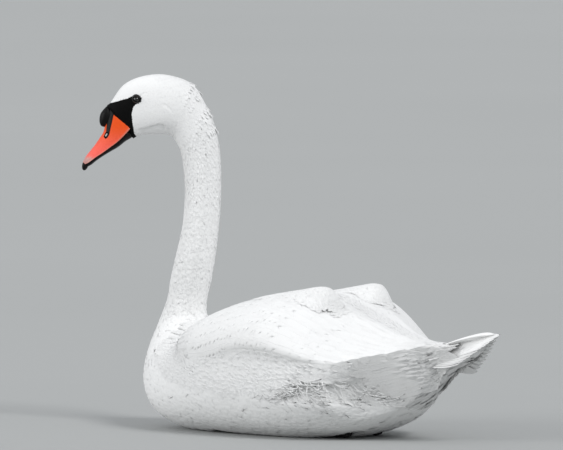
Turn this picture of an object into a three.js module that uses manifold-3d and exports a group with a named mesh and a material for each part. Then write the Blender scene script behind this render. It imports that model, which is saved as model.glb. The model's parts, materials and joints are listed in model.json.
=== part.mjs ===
// A mute swan afloat and at rest, life size, as a still museum model.
//
// Millimetres, +Z up. The body lies along X with the breast toward -X and the tail toward +X, and it rests on
// the small flat of its belly at z = 0. Its left side is -Y, and its head is turned to the left.
//
// Head, neck, breast, trunk and stern are lengths of one tube. Its stations run from the bill's base over the
// crown, down the neck and back to the tail, and each is a closed section hung between a point of the back and
// a point of the belly. The bill, knob, eyes, wings, tail and feet are shapes of their own.
import * as THREE from "three";
import { mergeVertices } from "three/addons/utils/BufferGeometryUtils.js";
import Module from "manifold-3d";

const wasm = await Module();
wasm.setup();

// ---------------------------------------------------------------------------------------------- driving sizes
const GAP = 0.4; // clearance between neighbouring solids
const HEAD_TURN = 45; // degrees, from the body's axis toward the swan's left
const TURN_AXIS_X = -225; // the upright line that the neck twists about

// Stations of the body tube. back and belly are [x, z] in the mid-plane before the head is turned, half is the
// half width, and square is the section's exponent: 2 is an ellipse, more is boxier.
const STATIONS = {
  billBase: { back: [-369, 500], belly: [-328, 448.5], half: 17.5, square: 2.2 },
  lore: { back: [-346, 530], belly: [-316, 451], half: 24, square: 2.2 },
  brow: { back: [-312, 543.5], belly: [-300, 452], half: 30.5, square: 2.2 },
  crown: { back: [-276, 543.5], belly: [-286, 453], half: 33, square: 2.1 },
  occiput: { back: [-240, 528.5], belly: [-275, 450], half: 32, square: 2 },
  nape: { back: [-217, 491], belly: [-268, 442], half: 30, square: 2 },
  throat: { back: [-204, 458], belly: [-261, 428], half: 29, square: 2 },
  neckTop: { back: [-197.5, 415], belly: [-256, 405], half: 28.5, square: 2 },
  neckUpper: { back: [-196.5, 360], belly: [-253.5, 360], half: 28.5, square: 2 },
  neckMiddle: { back: [-200, 310], belly: [-257.5, 310], half: 29, square: 2 },
  neckLower: { back: [-206, 267], belly: [-268.5, 267], half: 30.5, square: 2 },
  neckBase: { back: [-216, 230], belly: [-281, 230], half: 32, square: 2 },
  crop: { back: [-228, 197], belly: [-292, 193], half: 32, square: 2 },
  breastTop: { back: [-229, 173], belly: [-309, 157], half: 37, square: 2 },
  breastFront: { back: [-222, 162], belly: [-313, 120], half: 57, square: 2.1 },
  breastLow: { back: [-208, 158], belly: [-309, 80], half: 79, square: 2.1 },
  shoulders: { back: [-187, 160], belly: [-294, 43], half: 99, square: 2.15 },
  forebelly: { back: [-155, 165], belly: [-262, 12], half: 118, square: 2.2 },
  chest: { back: [-115, 173], belly: [-205, -5], half: 137, square: 2.2 },
  flank: { back: [-65, 182], belly: [-125, -9], half: 151, square: 2.25 },
  middle: { back: [0, 186], belly: [-30, -9], half: 158, square: 2.3 },
  haunch: { back: [70, 185], belly: [60, -7], half: 156, square: 2.25 },
  rump: { back: [132, 173], belly: [140, 6], half: 139, square: 2.15 },
  vent: { back: [182, 157], belly: [207, 32], half: 112, square: 2.1 },
  sternLow: { back: [222, 145], belly: [258, 62], half: 84, square: 2.05 },
  sternHigh: { back: [252, 136], belly: [294, 94], half: 60, square: 2 },
  tailBase: { back: [278, 133], belly: [322, 118], half: 38, square: 2 },
};
const TUBE_SIDES = 24;

// The line along the stern where the folded wing's lower edge lies, and the half width there. Below it the sides
// lean in by STERN_LEAN of the height, but to no less than STERN_ROUND of the tube's own half width.
const STERN_EDGE = [
  { x: 150, z: 126.6, half: 150 },
  { x: 175, z: 121, half: 130 },
  { x: 198, z: 127, half: 116 },
  { x: 220, z: 132, half: 102 },
  { x: 262, z: 142, half: 71 },
  { x: 300, z: 150, half: 46 },
  { x: 345, z: 143, half: 31 },
];
const STERN_LEAN = 0.62;
const STERN_ROUND = 0.45;
const STEPS_PER_STATION = 2;

// The lengths of the tube, each from one station to another with a fraction of the way to the next.
const LENGTHS = [
  { name: "head", from: 0, to: 5.3 },
  { name: "neck_upper", from: 5.3, to: 7.9 },
  { name: "neck_middle", from: 7.9, to: 9.9 },
  { name: "neck_lower", from: 9.9, to: 12.1 },
  { name: "breast", from: 12.1, to: 17.2 },
  { name: "trunk", from: 17.2, to: 22.9 },
  { name: "rump", from: 22.9, to: 26 },
];
const LENGTH_GAP = 0.03; // of a station, left open at each parting

// Stations of the closed bill in the head's own mid-plane: culmen is its ridge, tomium the line where the two
// halves meet, and chin the lower edge, each [x, z].
const BILL = [
  { culmen: [-369.8, 498], tomium: [-337.5, 461.5], chin: [-329.5, 449.5], half: 17 },
  { culmen: [-374, 478], tomium: [-347, 451], chin: [-343, 442.5], half: 17 },
  { culmen: [-378.5, 457], tomium: [-358, 440.5], chin: [-356, 432.5], half: 16 },
  { culmen: [-385, 446], tomium: [-369, 432.3], chin: [-367, 426], half: 15 },
  { culmen: [-391.5, 436.5], tomium: [-380, 424.3], chin: [-377, 420], half: 14.3 },
  { culmen: [-398.5, 427.5], tomium: [-391, 417], chin: [-387.5, 413], half: 13.6 },
  { culmen: [-406, 418], tomium: [-401, 409.5], chin: [-397, 405.5], half: 11.6 },
  { culmen: [-410.5, 409.5], tomium: [-407.5, 406], chin: [-404, 401.5], half: 6 },
];
const NAIL = { centre: [-406.8, 405.2], long: 9.2, thick: 4.8, half: 6.8, lean: 16 };
const KNOB = { centre: [-375.5, 481], long: 17.2, thick: 9, half: 9, lean: 20 };
const EYE = { centre: [-327.3, 507.6], radius: 8.5, sunk: 6.4 };

// Stations of a folded wing along X, from the shoulder to the wing's tip. low is the height of its lower edge,
// wide and top are [distance from the mid-plane, height] of its widest line and of its ridge, mid is the height
// where the wings meet, and round is the exponent of the curve from the widest line to the ridge.
const WING = [
  { x: -181, low: 113, wide: [100, 127], top: [62, 152], mid: 145, round: 2 },
  { x: -158, low: 106, wide: [123, 129], top: [56, 168], mid: 160, round: 2 },
  { x: -120, low: 104, wide: [143, 131], top: [53, 186], mid: 179, round: 2 },
  { x: -60, low: 112, wide: [158, 138], top: [51, 205], mid: 197, round: 2 },
  { x: 10, low: 134, wide: [164, 146], top: [50, 218], mid: 210, round: 2 },
  { x: 70, low: 134, wide: [163, 145], top: [50, 219], mid: 211, round: 1.8 },
  { x: 130, low: 121, wide: [147, 132], top: [44, 198], mid: 192, round: 1.3 },
  { x: 175, low: 112, wide: [121, 121], top: [32, 181], mid: 175, round: 1.1 },
  { x: 220, low: 112, wide: [89, 118], top: [20, 164], mid: 160, round: 1.1 },
  { x: 262, low: 130, wide: [58, 135], top: [11, 155], mid: 152, round: 1.15 },
  { x: 300, low: 147, wide: [20, 149], top: [6, 152], mid: 150, round: 1.4 },
];
const WING_STEPS = 2; // sections between two stations
const WING_DEPTH = 0.4; // how far the wing reaches inward, as a fraction of its distance from its own middle
const WING_CUTS = [
  { x: 45, lean: 32 }, // parts the coverted arm from the secondaries
  { x: 215, lean: -38 }, // parts the secondaries from the primaries' tips
];

const WING_PARTS = ["wing_arm", "wing_secondaries", "wing_primaries"];

// The shoulder feathers, a raised leaf on each wing: along its length, its middle line and its thickness.
const SCAPULARS = [
  { at: [-70, 66, 198], half: 9, thick: 6 },
  { at: [-30, 65, 209], half: 22, thick: 8 },
  { at: [20, 62, 217], half: 28, thick: 10 },
  { at: [60, 59, 221.5], half: 28, thick: 14 },
  { at: [90, 57, 225], half: 24, thick: 17 },
  { at: [108, 56, 224], half: 17, thick: 15 },
  { at: [117, 56, 221], half: 7, thick: 8 },
];
const SCAPULAR_ARCH = 9; // how far the leaf's edges lie below its middle line

const TAIL = {
  root: [262, 137], // [x, z] of the middle of the feathers' roots
  length: 160,
  rise: 13.5, // degrees above the level
  feathers: 11, // on each side
  rootHalf: 34, // half width of the row of roots
  spread: 16, // degrees from the middle feather to the outermost
  droop: [24, 40], // fall of the outermost feather below the middle one, at the root and at the tip
  taper: 0.56, // how much shorter the outermost feather is
  notch: 5, // depth of the notch between two feathers' tips
  thick: [6, 1.6], // at the root and at the tip
};

// A folded leg, tucked under the belly: the tarsus lies on the floor from the heel forward to the toes, with the
// web half closed, in a hollow of the belly's feathers.
const LEG = { heel: [123, 33, 11], joint: [18, 45, 8.5], heelRadius: 10, shankRadius: 6.5, jointRadius: 8.5 };
const TOES = [
  { name: "inner", tip: [-92, 35], radius: 4.6 },
  { name: "middle", tip: [-124, 52], radius: 5.2 },
  { name: "outer", tip: [-110, 70], radius: 4.6 },
];
const CLAW = 13; // length of a claw
const WEB_THICK = 2.2;

const COLOURS = {
  plumage: [0xf4f4f1, 0.85],
  shade: [0xe6e7e6, 0.85],
  bill: [0xf0603a, 0.45],
  black: [0x141312, 0.5],
  foot: [0x2b2927, 0.6],
  eye: [0x160d08, 0.1],
};

// ------------------------------------------------------------------------------------------- shared geometry
const rad = THREE.MathUtils.degToRad;
const clamp = THREE.MathUtils.clamp;
const lerp = THREE.MathUtils.lerp;

/** Catmull-Rom spline through equal rows of numbers; the place counts rows from 0. */
function splineRow(rows, place) {
  const last = rows.length - 1;
  const at = clamp(place, 0, last);
  const i = Math.min(Math.floor(at), last - 1);
  const f = at - i;
  return rows[0].map((_, k) => {
    const p1 = rows[i][k];
    const p2 = rows[i + 1][k];
    const p0 = i > 0 ? rows[i - 1][k] : 2 * p1 - p2;
    const p3 = i < last - 1 ? rows[i + 2][k] : 2 * p2 - p1;
    const a = -p0 + 3 * p1 - 3 * p2 + p3;
    const b = 2 * p0 - 5 * p1 + 4 * p2 - p3;
    return 0.5 * (2 * p1 + (p2 - p0) * f + b * f * f + a * f * f * f);
  });
}

/** A power that keeps the sign of its base, for superellipse sections. */
const signedPower = (value, power) => Math.sign(value) * Math.abs(value) ** power;

/** The numbers from first to last in equal steps. */
const steps = (first, last, count) => Array.from({ length: count + 1 }, (_, i) => lerp(first, last, i / count));

/**
 * Closed surface through rings of equal point counts. An end ring is closed by a fan round its middle, or, where
 * it is a thin curved band whose first and last points are opposite each other, by a ladder across it.
 */
function loft(rings, isBand = false) {
  const sides = rings[0].length;
  const points = rings.flat();
  const faces = [];
  for (let r = 0; r + 1 < rings.length; r += 1) {
    for (let s = 0; s < sides; s += 1) {
      const a = r * sides + s;
      const b = r * sides + ((s + 1) % sides);
      faces.push(a, b, b + sides, a, b + sides, a + sides);
    }
  }
  for (const [ring, flip] of [[0, true], [rings.length - 1, false]]) {
    if (isBand) {
      for (let s = 0; s < sides / 2 - 1; s += 1) {
        const [a, b] = [s, s + 1].map((k) => ring * sides + k);
        const [c, d] = [sides - 2 - s, sides - 1 - s].map((k) => ring * sides + k);
        faces.push(...(flip ? [b, a, d, b, d, c] : [a, b, d, b, c, d]));
      }
      continue;
    }
    const middle = points.length;
    const centre = [0, 1, 2].map((k) => rings[ring].reduce((sum, p) => sum + p[k], 0) / sides);
    points.push(centre);
    for (let s = 0; s < sides; s += 1) {
      const a = ring * sides + s;
      const b = ring * sides + ((s + 1) % sides);
      faces.push(...(flip ? [b, a, middle] : [a, b, middle]));
    }
  }
  const geometry = new THREE.BufferGeometry();
  geometry.setAttribute("position", new THREE.Float32BufferAttribute(points.flat(), 3));
  geometry.setIndex(faces);
  return geometry;
}

/** A closed geometry as a solid, turned outward if its faces point in. */
function solidOf(geometry) {
  const bare = geometry.clone();
  bare.deleteAttribute("normal");
  bare.deleteAttribute("uv");
  const merged = mergeVertices(bare, 1e-4);
  const vertProperties = new Float32Array(merged.attributes.position.array);
  const triVerts = new Uint32Array(merged.index.array);
  let solid = new wasm.Manifold(new wasm.Mesh({ numProp: 3, vertProperties, triVerts }));
  if (solid.volume() < 0) {
    triVerts.reverse();
    solid = new wasm.Manifold(new wasm.Mesh({ numProp: 3, vertProperties, triVerts }));
  }
  return solid;
}

/** A solid's triangles as a geometry with flat shading. */
function geometryOf(solid) {
  const mesh = solid.getMesh();
  const geometry = new THREE.BufferGeometry();
  geometry.setAttribute("position", new THREE.BufferAttribute(mesh.vertProperties, 3));
  geometry.setIndex(new THREE.BufferAttribute(mesh.triVerts, 1));
  const flat = geometry.toNonIndexed();
  flat.computeVertexNormals();
  return flat;
}

/** The largest of the bodies that a cut leaves, so that no loose sliver stays. */
function largest(solid) {
  return solid.decompose().reduce((best, body) => (body.volume() > best.volume() ? body : best));
}

/** A rounded, egg-shaped solid: an ellipsoid leaning in the head's mid-plane. */
function eggSolid({ centre, long, thick, half, lean }, grow = 0) {
  const sphere = new THREE.SphereGeometry(1, 12, 8);
  sphere.scale(thick + grow, half + grow, long + grow);
  sphere.rotateY(rad(lean));
  sphere.translate(centre[0], 0, centre[1]);
  return turnedHead(solidOf(sphere));
}

/** A solid of the head's mid-plane, turned with the head about the neck's upright axis. */
function turnedHead(solid) {
  return solid.translate(-TURN_AXIS_X, 0, 0).rotate(0, 0, HEAD_TURN).translate(TURN_AXIS_X, 0, 0);
}

// -------------------------------------------------------------------------------------------------- body tube
const STATION_NAMES = Object.keys(STATIONS);
const stationIndex = (name) => STATION_NAMES.indexOf(name);
const STATION_ROWS = Object.values(STATIONS).map((s) => [...s.back, ...s.belly, s.half, s.square]);

/** How far the neck is turned at a place on the tube: all of the head's turn above, none at the crop. */
function turnAt(place) {
  const top = stationIndex("neckTop");
  const base = stationIndex("crop");
  return rad(HEAD_TURN) * (1 - THREE.MathUtils.smoothstep(place, top, base));
}

/** A value of a table of rows at x, in straight lines between them. */
function alongRows(rows, x, key) {
  const next = rows.findIndex((row) => row.x > x);
  if (next === 0) return rows[0][key];
  if (next < 0) return rows[rows.length - 1][key];
  const [a, b] = [rows[next - 1], rows[next]];
  return lerp(a[key], b[key], (x - a.x) / (b.x - a.x));
}

/** The half width left of side at a point of the stern: it leans in below the folded wing's lower edge. */
function sternSide(x, z, side, grow) {
  const leaning = alongRows(STERN_EDGE, x, "half") + 1.3 * grow - STERN_LEAN * (alongRows(STERN_EDGE, x, "z") - z);
  const drawn = Math.min(side, Math.max(leaning, STERN_ROUND * side));
  return lerp(side, drawn, THREE.MathUtils.smoothstep(x, 150, 200));
}

/** A point of the tube: angle 0 is the back, a quarter turn the left side, half a turn the belly. */
function tubePoint(place, angle, grow = 0) {
  const [backX, backZ, bellyX, bellyZ, half, square] = splineRow(STATION_ROWS, place);
  const height = Math.hypot(backX - bellyX, backZ - bellyZ);
  const wider = 1 + (2 * grow) / height;
  const up = signedPower(Math.cos(angle), 2 / square) * wider;
  const side = signedPower(Math.sin(angle), 2 / square);
  const x = (backX + bellyX) / 2 + ((backX - bellyX) / 2) * up;
  const z = (backZ + bellyZ) / 2 + ((backZ - bellyZ) / 2) * up;
  const y = -Math.sign(side) * sternSide(x, z, (half + grow) * Math.abs(side), grow);
  const turn = turnAt(place);
  const out = x - TURN_AXIS_X;
  return [
    TURN_AXIS_X + out * Math.cos(turn) - y * Math.sin(turn),
    out * Math.sin(turn) + y * Math.cos(turn),
    Math.max(z, -grow),
  ];
}

/** A closed length of the tube. */
function tubeSolid(from, to, grow = 0) {
  const count = Math.max(2, Math.round((to - from) * STEPS_PER_STATION));
  const angles = steps(0, 2 * Math.PI, TUBE_SIDES).slice(0, -1);
  return solidOf(loft(steps(from, to, count).map((place) => angles.map((a) => tubePoint(place, a, grow)))));
}

// ------------------------------------------------------------------------------------------------------- bill
const BILL_ROWS = BILL.map((s) => [...s.culmen, ...s.tomium, ...s.chin, s.half]);

/** Section of the upper bill: an arch from edge to edge over the ridge, with a flat underside. */
function upperBillRing(place, grow) {
  const [culmenX, culmenZ, tomiumX, tomiumZ, , , half] = splineRow(BILL_ROWS, place);
  const rise = [culmenX - tomiumX, culmenZ - tomiumZ];
  const length = Math.hypot(...rise);
  const up = rise.map((v) => v / length);
  const arch = steps(0, Math.PI, 10).map((a) => {
    const height = signedPower(Math.sin(a), 0.9) * (length + grow) - grow;
    return [tomiumX + up[0] * height, -Math.cos(a) * (half + grow), tomiumZ + up[1] * height];
  });
  return arch;
}

/** Section of the lower bill: a shallow trough under the upper one. */
function lowerBillRing(place, grow) {
  const [, , tomiumX, tomiumZ, chinX, chinZ, half] = splineRow(BILL_ROWS, place);
  const fall = [chinX - tomiumX, chinZ - tomiumZ];
  const length = Math.hypot(...fall);
  const down = fall.map((v) => v / length);
  return steps(0, Math.PI, 8).map((a) => {
    const depth = GAP - grow + signedPower(Math.sin(a), 0.7) * (length - GAP + 2 * grow);
    return [tomiumX + down[0] * depth, -Math.cos(a) * (half * 0.9 + grow), tomiumZ + down[1] * depth];
  });
}

function billSolid(ring, grow = 0) {
  const last = BILL.length - 1;
  const rings = steps(0, last, last).map((place) => ring(place, grow));
  return turnedHead(solidOf(loft(rings)));
}

// ------------------------------------------------------------------------------------------------------- eyes
/** An eyeball on one side of the head: side is -1 for the left and +1 for the right. */
function eyeSolid(side, grow = 0) {
  const place = 1.42;
  const [, , , , half] = splineRow(STATION_ROWS, place);
  const ball = new THREE.SphereGeometry(EYE.radius + grow, 12, 7);
  ball.rotateX(Math.PI / 2);
  ball.translate(EYE.centre[0], side * (half - EYE.sunk), EYE.centre[1]);
  return turnedHead(solidOf(ball));
}

// ------------------------------------------------------------------------------------------------------ wings
const WING_ROWS = WING.map((s) => [s.x, s.low, ...s.wide, ...s.top, s.mid, s.round]);

/** Outer curve of a wing's section, from the lower edge over the widest line and the ridge to the middle. */
function wingOutline(place) {
  const [x, low, wideY, wideZ, topY, topZ, mid, round] = splineRow(WING_ROWS, place);
  const under = steps(1, 0, 2).slice(0, -1).map((v) => {
    return [lerp(wideY, topY, 0.1 * v * v), lerp(wideZ, low, Math.sin((v * Math.PI) / 2))];
  });
  const over = steps(0, Math.PI / 2, 6).map((a) => {
    const out = Math.cos(a) ** (2 / round);
    const up = Math.sin(a) ** (2 / round);
    return [lerp(topY, wideY, out), lerp(wideZ, topZ, up)];
  });
  const inner = steps(0, 1, 3).slice(1).map((v) => {
    return [lerp(topY, GAP / 2, Math.sin((v * Math.PI) / 2)), lerp(mid, topZ, Math.cos((v * Math.PI) / 2))];
  });
  return { x, low, points: [...under, ...over, ...inner] };
}

/** Closed section of a wing: the outline and a smaller copy of it, nearer the section's own middle. */
function wingRing(place, side) {
  const { x, low, points } = wingOutline(place);
  const heart = low + 10;
  const shrink = 1 - WING_DEPTH;
  const inside = points.map(([y, z]) => [Math.max(y * shrink, GAP / 2), heart + (z - heart) * shrink]);
  return [...points, ...inside.reverse()].map(([y, z]) => [x, side * y, z]);
}

function wingSolid(side) {
  const last = WING.length - 1;
  return solidOf(loft(steps(0, last, last * WING_STEPS).map((place) => wingRing(place, side)), true));
}

/** A thin leaning slab across a wing, which parts it in two. */
function partingSlab({ x, lean }) {
  const slab = new THREE.BoxGeometry(GAP, 500, 400);
  slab.rotateY(rad(lean));
  slab.translate(x, 0, 165);
  return solidOf(slab);
}

/** The leaf of shoulder feathers: flat below and arched above, with its edges lower than its middle line. */
function scapularSolid(side) {
  const rows = SCAPULARS.map(({ at, half, thick }) => [...at, half, thick]);
  const last = rows.length - 1;
  const sides = 14;
  const rings = steps(0, last, last * 2).map((place) => {
    const [x, y, z, half, thick] = splineRow(rows, place);
    return steps(0, 2 * Math.PI, sides).slice(0, -1).map((turn) => {
      const a = turn + Math.PI / sides;
      const out = Math.cos(a) / Math.cos(Math.PI / sides);
      return [x, side * (y + half * out), z + (thick / 2) * Math.sin(a) - SCAPULAR_ARCH * out * out];
    });
  });
  return solidOf(loft(rings, true));
}

// ------------------------------------------------------------------------------------------------------- tail
/** A point on the middle surface of the tail: along 0..1 from root to tip, across -1..1 from left to right. */
function tailPoint(along, across, lift) {
  const { root, length, rise, feathers, rootHalf, spread, droop, taper, notch } = TAIL;
  const between = Math.abs(((Math.abs(across) * feathers) % 1) - 0.5) * 2;
  const reach = length * (1 - taper * Math.abs(across) ** 0.85) - notch * between ** 2;
  const out = reach * along;
  const angle = rad(spread) * across;
  const fall = lerp(droop[0], droop[1], along) * Math.abs(across) ** 1.2;
  return [
    root[0] + out * Math.cos(angle),
    rootHalf * across + out * Math.sin(angle),
    root[1] + out * Math.tan(rad(rise)) - fall + lift,
  ];
}

function tailSolid() {
  const across = steps(-1, 1, TAIL.feathers * 4);
  const rings = steps(0, 1, 3).map((along) => {
    const half = lerp(TAIL.thick[0], TAIL.thick[1], along) / 2;
    const top = across.map((q) => tailPoint(along, q, half));
    const under = across.map((q) => tailPoint(along, q, -half));
    return [...top, ...under.reverse()];
  });
  return solidOf(loft(rings, true));
}

// ------------------------------------------------------------------------------------------------------- legs
/** A round rod with a changing radius, resting no lower than the floor. */
function rodSolid(nodes, sides = 10) {
  const start = new THREE.Vector3(...nodes[0].at);
  const end = new THREE.Vector3(...nodes[nodes.length - 1].at);
  const ahead = end.clone().sub(start).setZ(0).normalize();
  const across = new THREE.Vector3(-ahead.y, ahead.x, 0);
  const rings = nodes.map(({ at, radius }) => {
    return steps(0, 2 * Math.PI, sides).slice(0, -1).map((a) => {
      const p = new THREE.Vector3(...at).addScaledVector(across, radius * Math.cos(a));
      p.z = Math.max(0, p.z + radius * Math.sin(a));
      return p.toArray();
    });
  });
  return solidOf(loft(rings));
}

function shankSolid(side) {
  const { heel, joint, heelRadius, shankRadius, jointRadius } = LEG;
  const at = (s) => heel.map((v, k) => lerp(v, joint[k], s) * (k === 1 ? side : 1));
  const nodes = [
    { at: at(-0.07), radius: 4 },
    { at: at(-0.02), radius: heelRadius * 0.9 },
    { at: at(0.05), radius: heelRadius },
    { at: at(0.16), radius: shankRadius * 1.15 },
    { at: at(0.5), radius: shankRadius },
    { at: at(0.86), radius: shankRadius * 1.05 },
    { at: at(0.95), radius: jointRadius * 0.9 },
  ];
  return rodSolid(nodes);
}

/** The foot: three toes with knuckles and claws, and the web between them. */
function footSolid(side) {
  const [jointX, jointY] = LEG.joint;
  const start = [jointX - 1, side * jointY];
  const toes = TOES.map(({ tip, radius }) => {
    const end = [tip[0], side * tip[1]];
    const length = Math.hypot(end[0] - start[0], end[1] - start[1]);
    const at = (mm) => [lerp(start[0], end[0], mm / length), lerp(start[1], end[1], mm / length)];
    const node = (mm, size) => ({ at: [...at(mm), radius * 0.9 * size], radius: radius * size });
    const knuckles = [1, 2].flatMap((k) => {
      const mm = ((length - CLAW) * k) / 3;
      return [node(mm, 1.04), node(mm + 10, 0.82)];
    });
    const clawRoot = length - CLAW;
    return rodSolid([node(0, 1.5), ...knuckles, node(clawRoot, 0.8), node(clawRoot + 5, 0.5), node(length, 0.14)], 6);
  });
  const webEnds = TOES.map(({ tip }) => [tip[0] + CLAW + 2, tip[1]]);
  const outline = [[jointX - 6, jointY - 4], webEnds[0]];
  for (const [a, b] of [[webEnds[0], webEnds[1]], [webEnds[1], webEnds[2]]]) {
    outline.push([(a[0] + b[0]) / 2 + 7, (a[1] + b[1]) / 2], b);
  }
  outline.push([jointX - 6, jointY + 4]);
  const shape = new THREE.Shape(outline.map(([x, y]) => new THREE.Vector2(x, side * y)));
  const web = solidOf(new THREE.ExtrudeGeometry(shape, { depth: WEB_THICK, bevelEnabled: false }));
  return largest(toes.reduce((all, toe) => all.add(toe), web));
}

// --------------------------------------------------------------------------------------------------- assembly
const swan = new THREE.Group();
swan.name = "mute_swan";

/** Adds a solid to the swan as one named part. */
function addPart(name, solid, colourName) {
  const [colour, roughness] = COLOURS[colourName];
  const material = new THREE.MeshStandardMaterial({ color: colour, roughness, metalness: 0 });
  const mesh = new THREE.Mesh(geometryOf(largest(solid)), material);
  mesh.name = name;
  swan.add(mesh);
}

const SIDES = [["left", -1], ["right", 1]];
const lastStation = STATION_NAMES.length - 1;
const bodyRoom = tubeSolid(stationIndex("neckBase"), lastStation, 0.7);
const tail = tailSolid();

for (const { name, from, to } of LENGTHS) {
  const start = from + (from === 0 ? LENGTH_GAP : LENGTH_GAP / 2);
  const end = to === lastStation ? to : to - LENGTH_GAP / 2;
  let solid = tubeSolid(start, end);
  for (const [, side] of SIDES) {
    if (name === "head") solid = solid.subtract(eyeSolid(side, GAP));
    if (name === "trunk") solid = solid.subtract(grownLeg(side));
  }
  addPart(name, solid, "plumage");
}

/** The room that a leg and its foot need in the trunk above them: their convex outline, lifted by the gap. */
function grownLeg(side) {
  const { heel, joint, heelRadius } = LEG;
  const outline = [
    [heel[0] + 12, heel[1] - heelRadius - 2.5],
    [heel[0] + 12, heel[1] + heelRadius + 2.5],
    [joint[0], joint[1] + 11],
    [TOES[2].tip[0] - 2, TOES[2].tip[1] + 7],
    [TOES[1].tip[0] - 2, TOES[1].tip[1] + 2],
    [TOES[1].tip[0] - 2, TOES[1].tip[1] - 2],
    [TOES[0].tip[0] - 2, TOES[0].tip[1] - 7],
    [joint[0], joint[1] - 11],
  ];
  const shape = new THREE.Shape(outline.map(([x, y]) => new THREE.Vector2(x, side * y)));
  const block = new THREE.ExtrudeGeometry(shape, { depth: heel[2] + heelRadius + 2, bevelEnabled: false });
  block.translate(0, 0, -1 + GAP);
  return solidOf(block);
}

const upperBill = billSolid(upperBillRing);
const nailRoom = eggSolid(NAIL, GAP);
const headRoom = tubeSolid(0, 2, GAP);
addPart("bill_upper", upperBill.subtract(nailRoom).subtract(headRoom), "bill");
addPart("bill_lower", billSolid(lowerBillRing).subtract(nailRoom).subtract(headRoom), "black");
addPart("bill_nail", eggSolid(NAIL), "black");
addPart("knob", eggSolid(KNOB).subtract(billSolid(upperBillRing, 0.6)).subtract(headRoom), "black");

for (const [label, side] of SIDES) {
  addPart(`eye_${label}`, eyeSolid(side), "eye");
  const wing = wingSolid(side).subtract(bodyRoom);
  const parted = WING_CUTS.map(partingSlab).reduce((rest, slab) => rest.subtract(slab), wing);
  const lengths = parted.decompose().filter((piece) => piece.volume() > 500);
  lengths.sort((a, b) => a.boundingBox().min[0] - b.boundingBox().min[0]);
  WING_PARTS.forEach((name, k) => addPart(`${name}_${label}`, lengths[k], "plumage"));
  const wingRoom = wingSolid(side).translate(0, 0, 0.7);
  addPart(`scapulars_${label}`, scapularSolid(side).subtract(wingRoom), "plumage");
  addPart(`leg_${label}`, shankSolid(side), "foot");
  addPart(`foot_${label}`, footSolid(side), "foot");
}
addPart("tail", tail.subtract(bodyRoom), "plumage");

export default swan;
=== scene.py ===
# %% [markdown]
# # A mute swan, life size, feather by feather
#
# The model is a swan afloat: a long body on a small belly flat, a tall neck with the head turned to the left, folded
# wings, a roofed tail and an orange bill. The CAD frame gives its sizes. Here one skin replaces the nodes of flesh,
# and a coat of feathers grows on it as thin sheets of mesh.
#
# Every new piece is a surface worked out as whole numpy arrays. The lengths below are typed in millimetres, as a
# maker would measure a bird, and turned into metres where a surface is made.

import json

import bmesh
import bpy
import numpy as np
from mathutils import Matrix, Vector

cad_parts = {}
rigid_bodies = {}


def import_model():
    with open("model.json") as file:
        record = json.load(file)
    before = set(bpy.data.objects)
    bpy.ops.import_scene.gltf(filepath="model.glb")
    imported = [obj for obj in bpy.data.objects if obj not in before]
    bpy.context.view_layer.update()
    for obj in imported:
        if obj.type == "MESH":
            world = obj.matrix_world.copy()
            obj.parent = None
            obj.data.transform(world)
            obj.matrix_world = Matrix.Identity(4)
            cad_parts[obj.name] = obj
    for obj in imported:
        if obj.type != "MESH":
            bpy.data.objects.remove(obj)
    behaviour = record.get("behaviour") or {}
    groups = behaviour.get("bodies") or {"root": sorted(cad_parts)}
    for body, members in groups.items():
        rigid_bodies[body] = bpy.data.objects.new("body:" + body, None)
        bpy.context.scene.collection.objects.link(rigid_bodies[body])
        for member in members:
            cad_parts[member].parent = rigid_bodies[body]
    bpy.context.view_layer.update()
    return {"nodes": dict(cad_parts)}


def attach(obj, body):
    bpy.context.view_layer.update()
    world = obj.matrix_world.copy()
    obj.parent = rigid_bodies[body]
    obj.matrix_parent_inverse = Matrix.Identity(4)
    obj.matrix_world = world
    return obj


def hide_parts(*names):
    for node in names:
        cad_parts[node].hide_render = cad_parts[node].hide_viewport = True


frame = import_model()
MM = 0.001

# %% [markdown]
# ## Camera
#
# The swan is seen from behind its left wing, with its head in exact profile, by a long lens from far away. The
# camera could stand close with a wide lens, but then the tail would grow and the head shrink. So it stands
# twenty-eight metres off, and its lens is worked out from the width that the picture has to hold at that distance.

# %% Camera from an azimuth, an elevation and the width of the view
AZIMUTH, ELEVATION = np.radians(45.0), np.radians(3.4)
VIEW_WIDTH, DISTANCE = 866.0, 28000.0
VIEW_ACROSS, VIEW_UP = -37.7, 320.6  # where the picture's middle is, across the view and up it

across_view = np.array([np.cos(AZIMUTH), np.sin(AZIMUTH), 0.0])
to_camera = np.array(
    [np.sin(AZIMUTH) * np.cos(ELEVATION), -np.cos(AZIMUTH) * np.cos(ELEVATION), np.sin(ELEVATION)]
)
up_view = np.cross(to_camera, across_view)
looked_at = (across_view * VIEW_ACROSS + up_view * VIEW_UP) * MM

camera_data = bpy.data.cameras.new("camera")
camera = bpy.data.objects.new("camera", camera_data)
bpy.context.scene.collection.objects.link(camera)
camera_data.sensor_width = 36.0
camera_data.lens = camera_data.sensor_width * DISTANCE / VIEW_WIDTH
camera_data.clip_end = 1000.0
stand = np.eye(4)
stand[:3] = np.stack([across_view, up_view, to_camera, looked_at + to_camera * DISTANCE * MM], axis=1)
camera.matrix_world = Matrix(stand)
bpy.context.scene.camera = camera
print("lens", round(camera_data.lens, 1), "mm")

# %% [markdown]
# ## Shader maths
#
# A finish is written as sums: `base + 0.2 * noise`. One small class wraps a socket, so that Python's own operators
# add the Math nodes, and one method adds any other node from its settings and its inputs. Colours go through Mix
# nodes, because a Math node would turn them grey.


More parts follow.
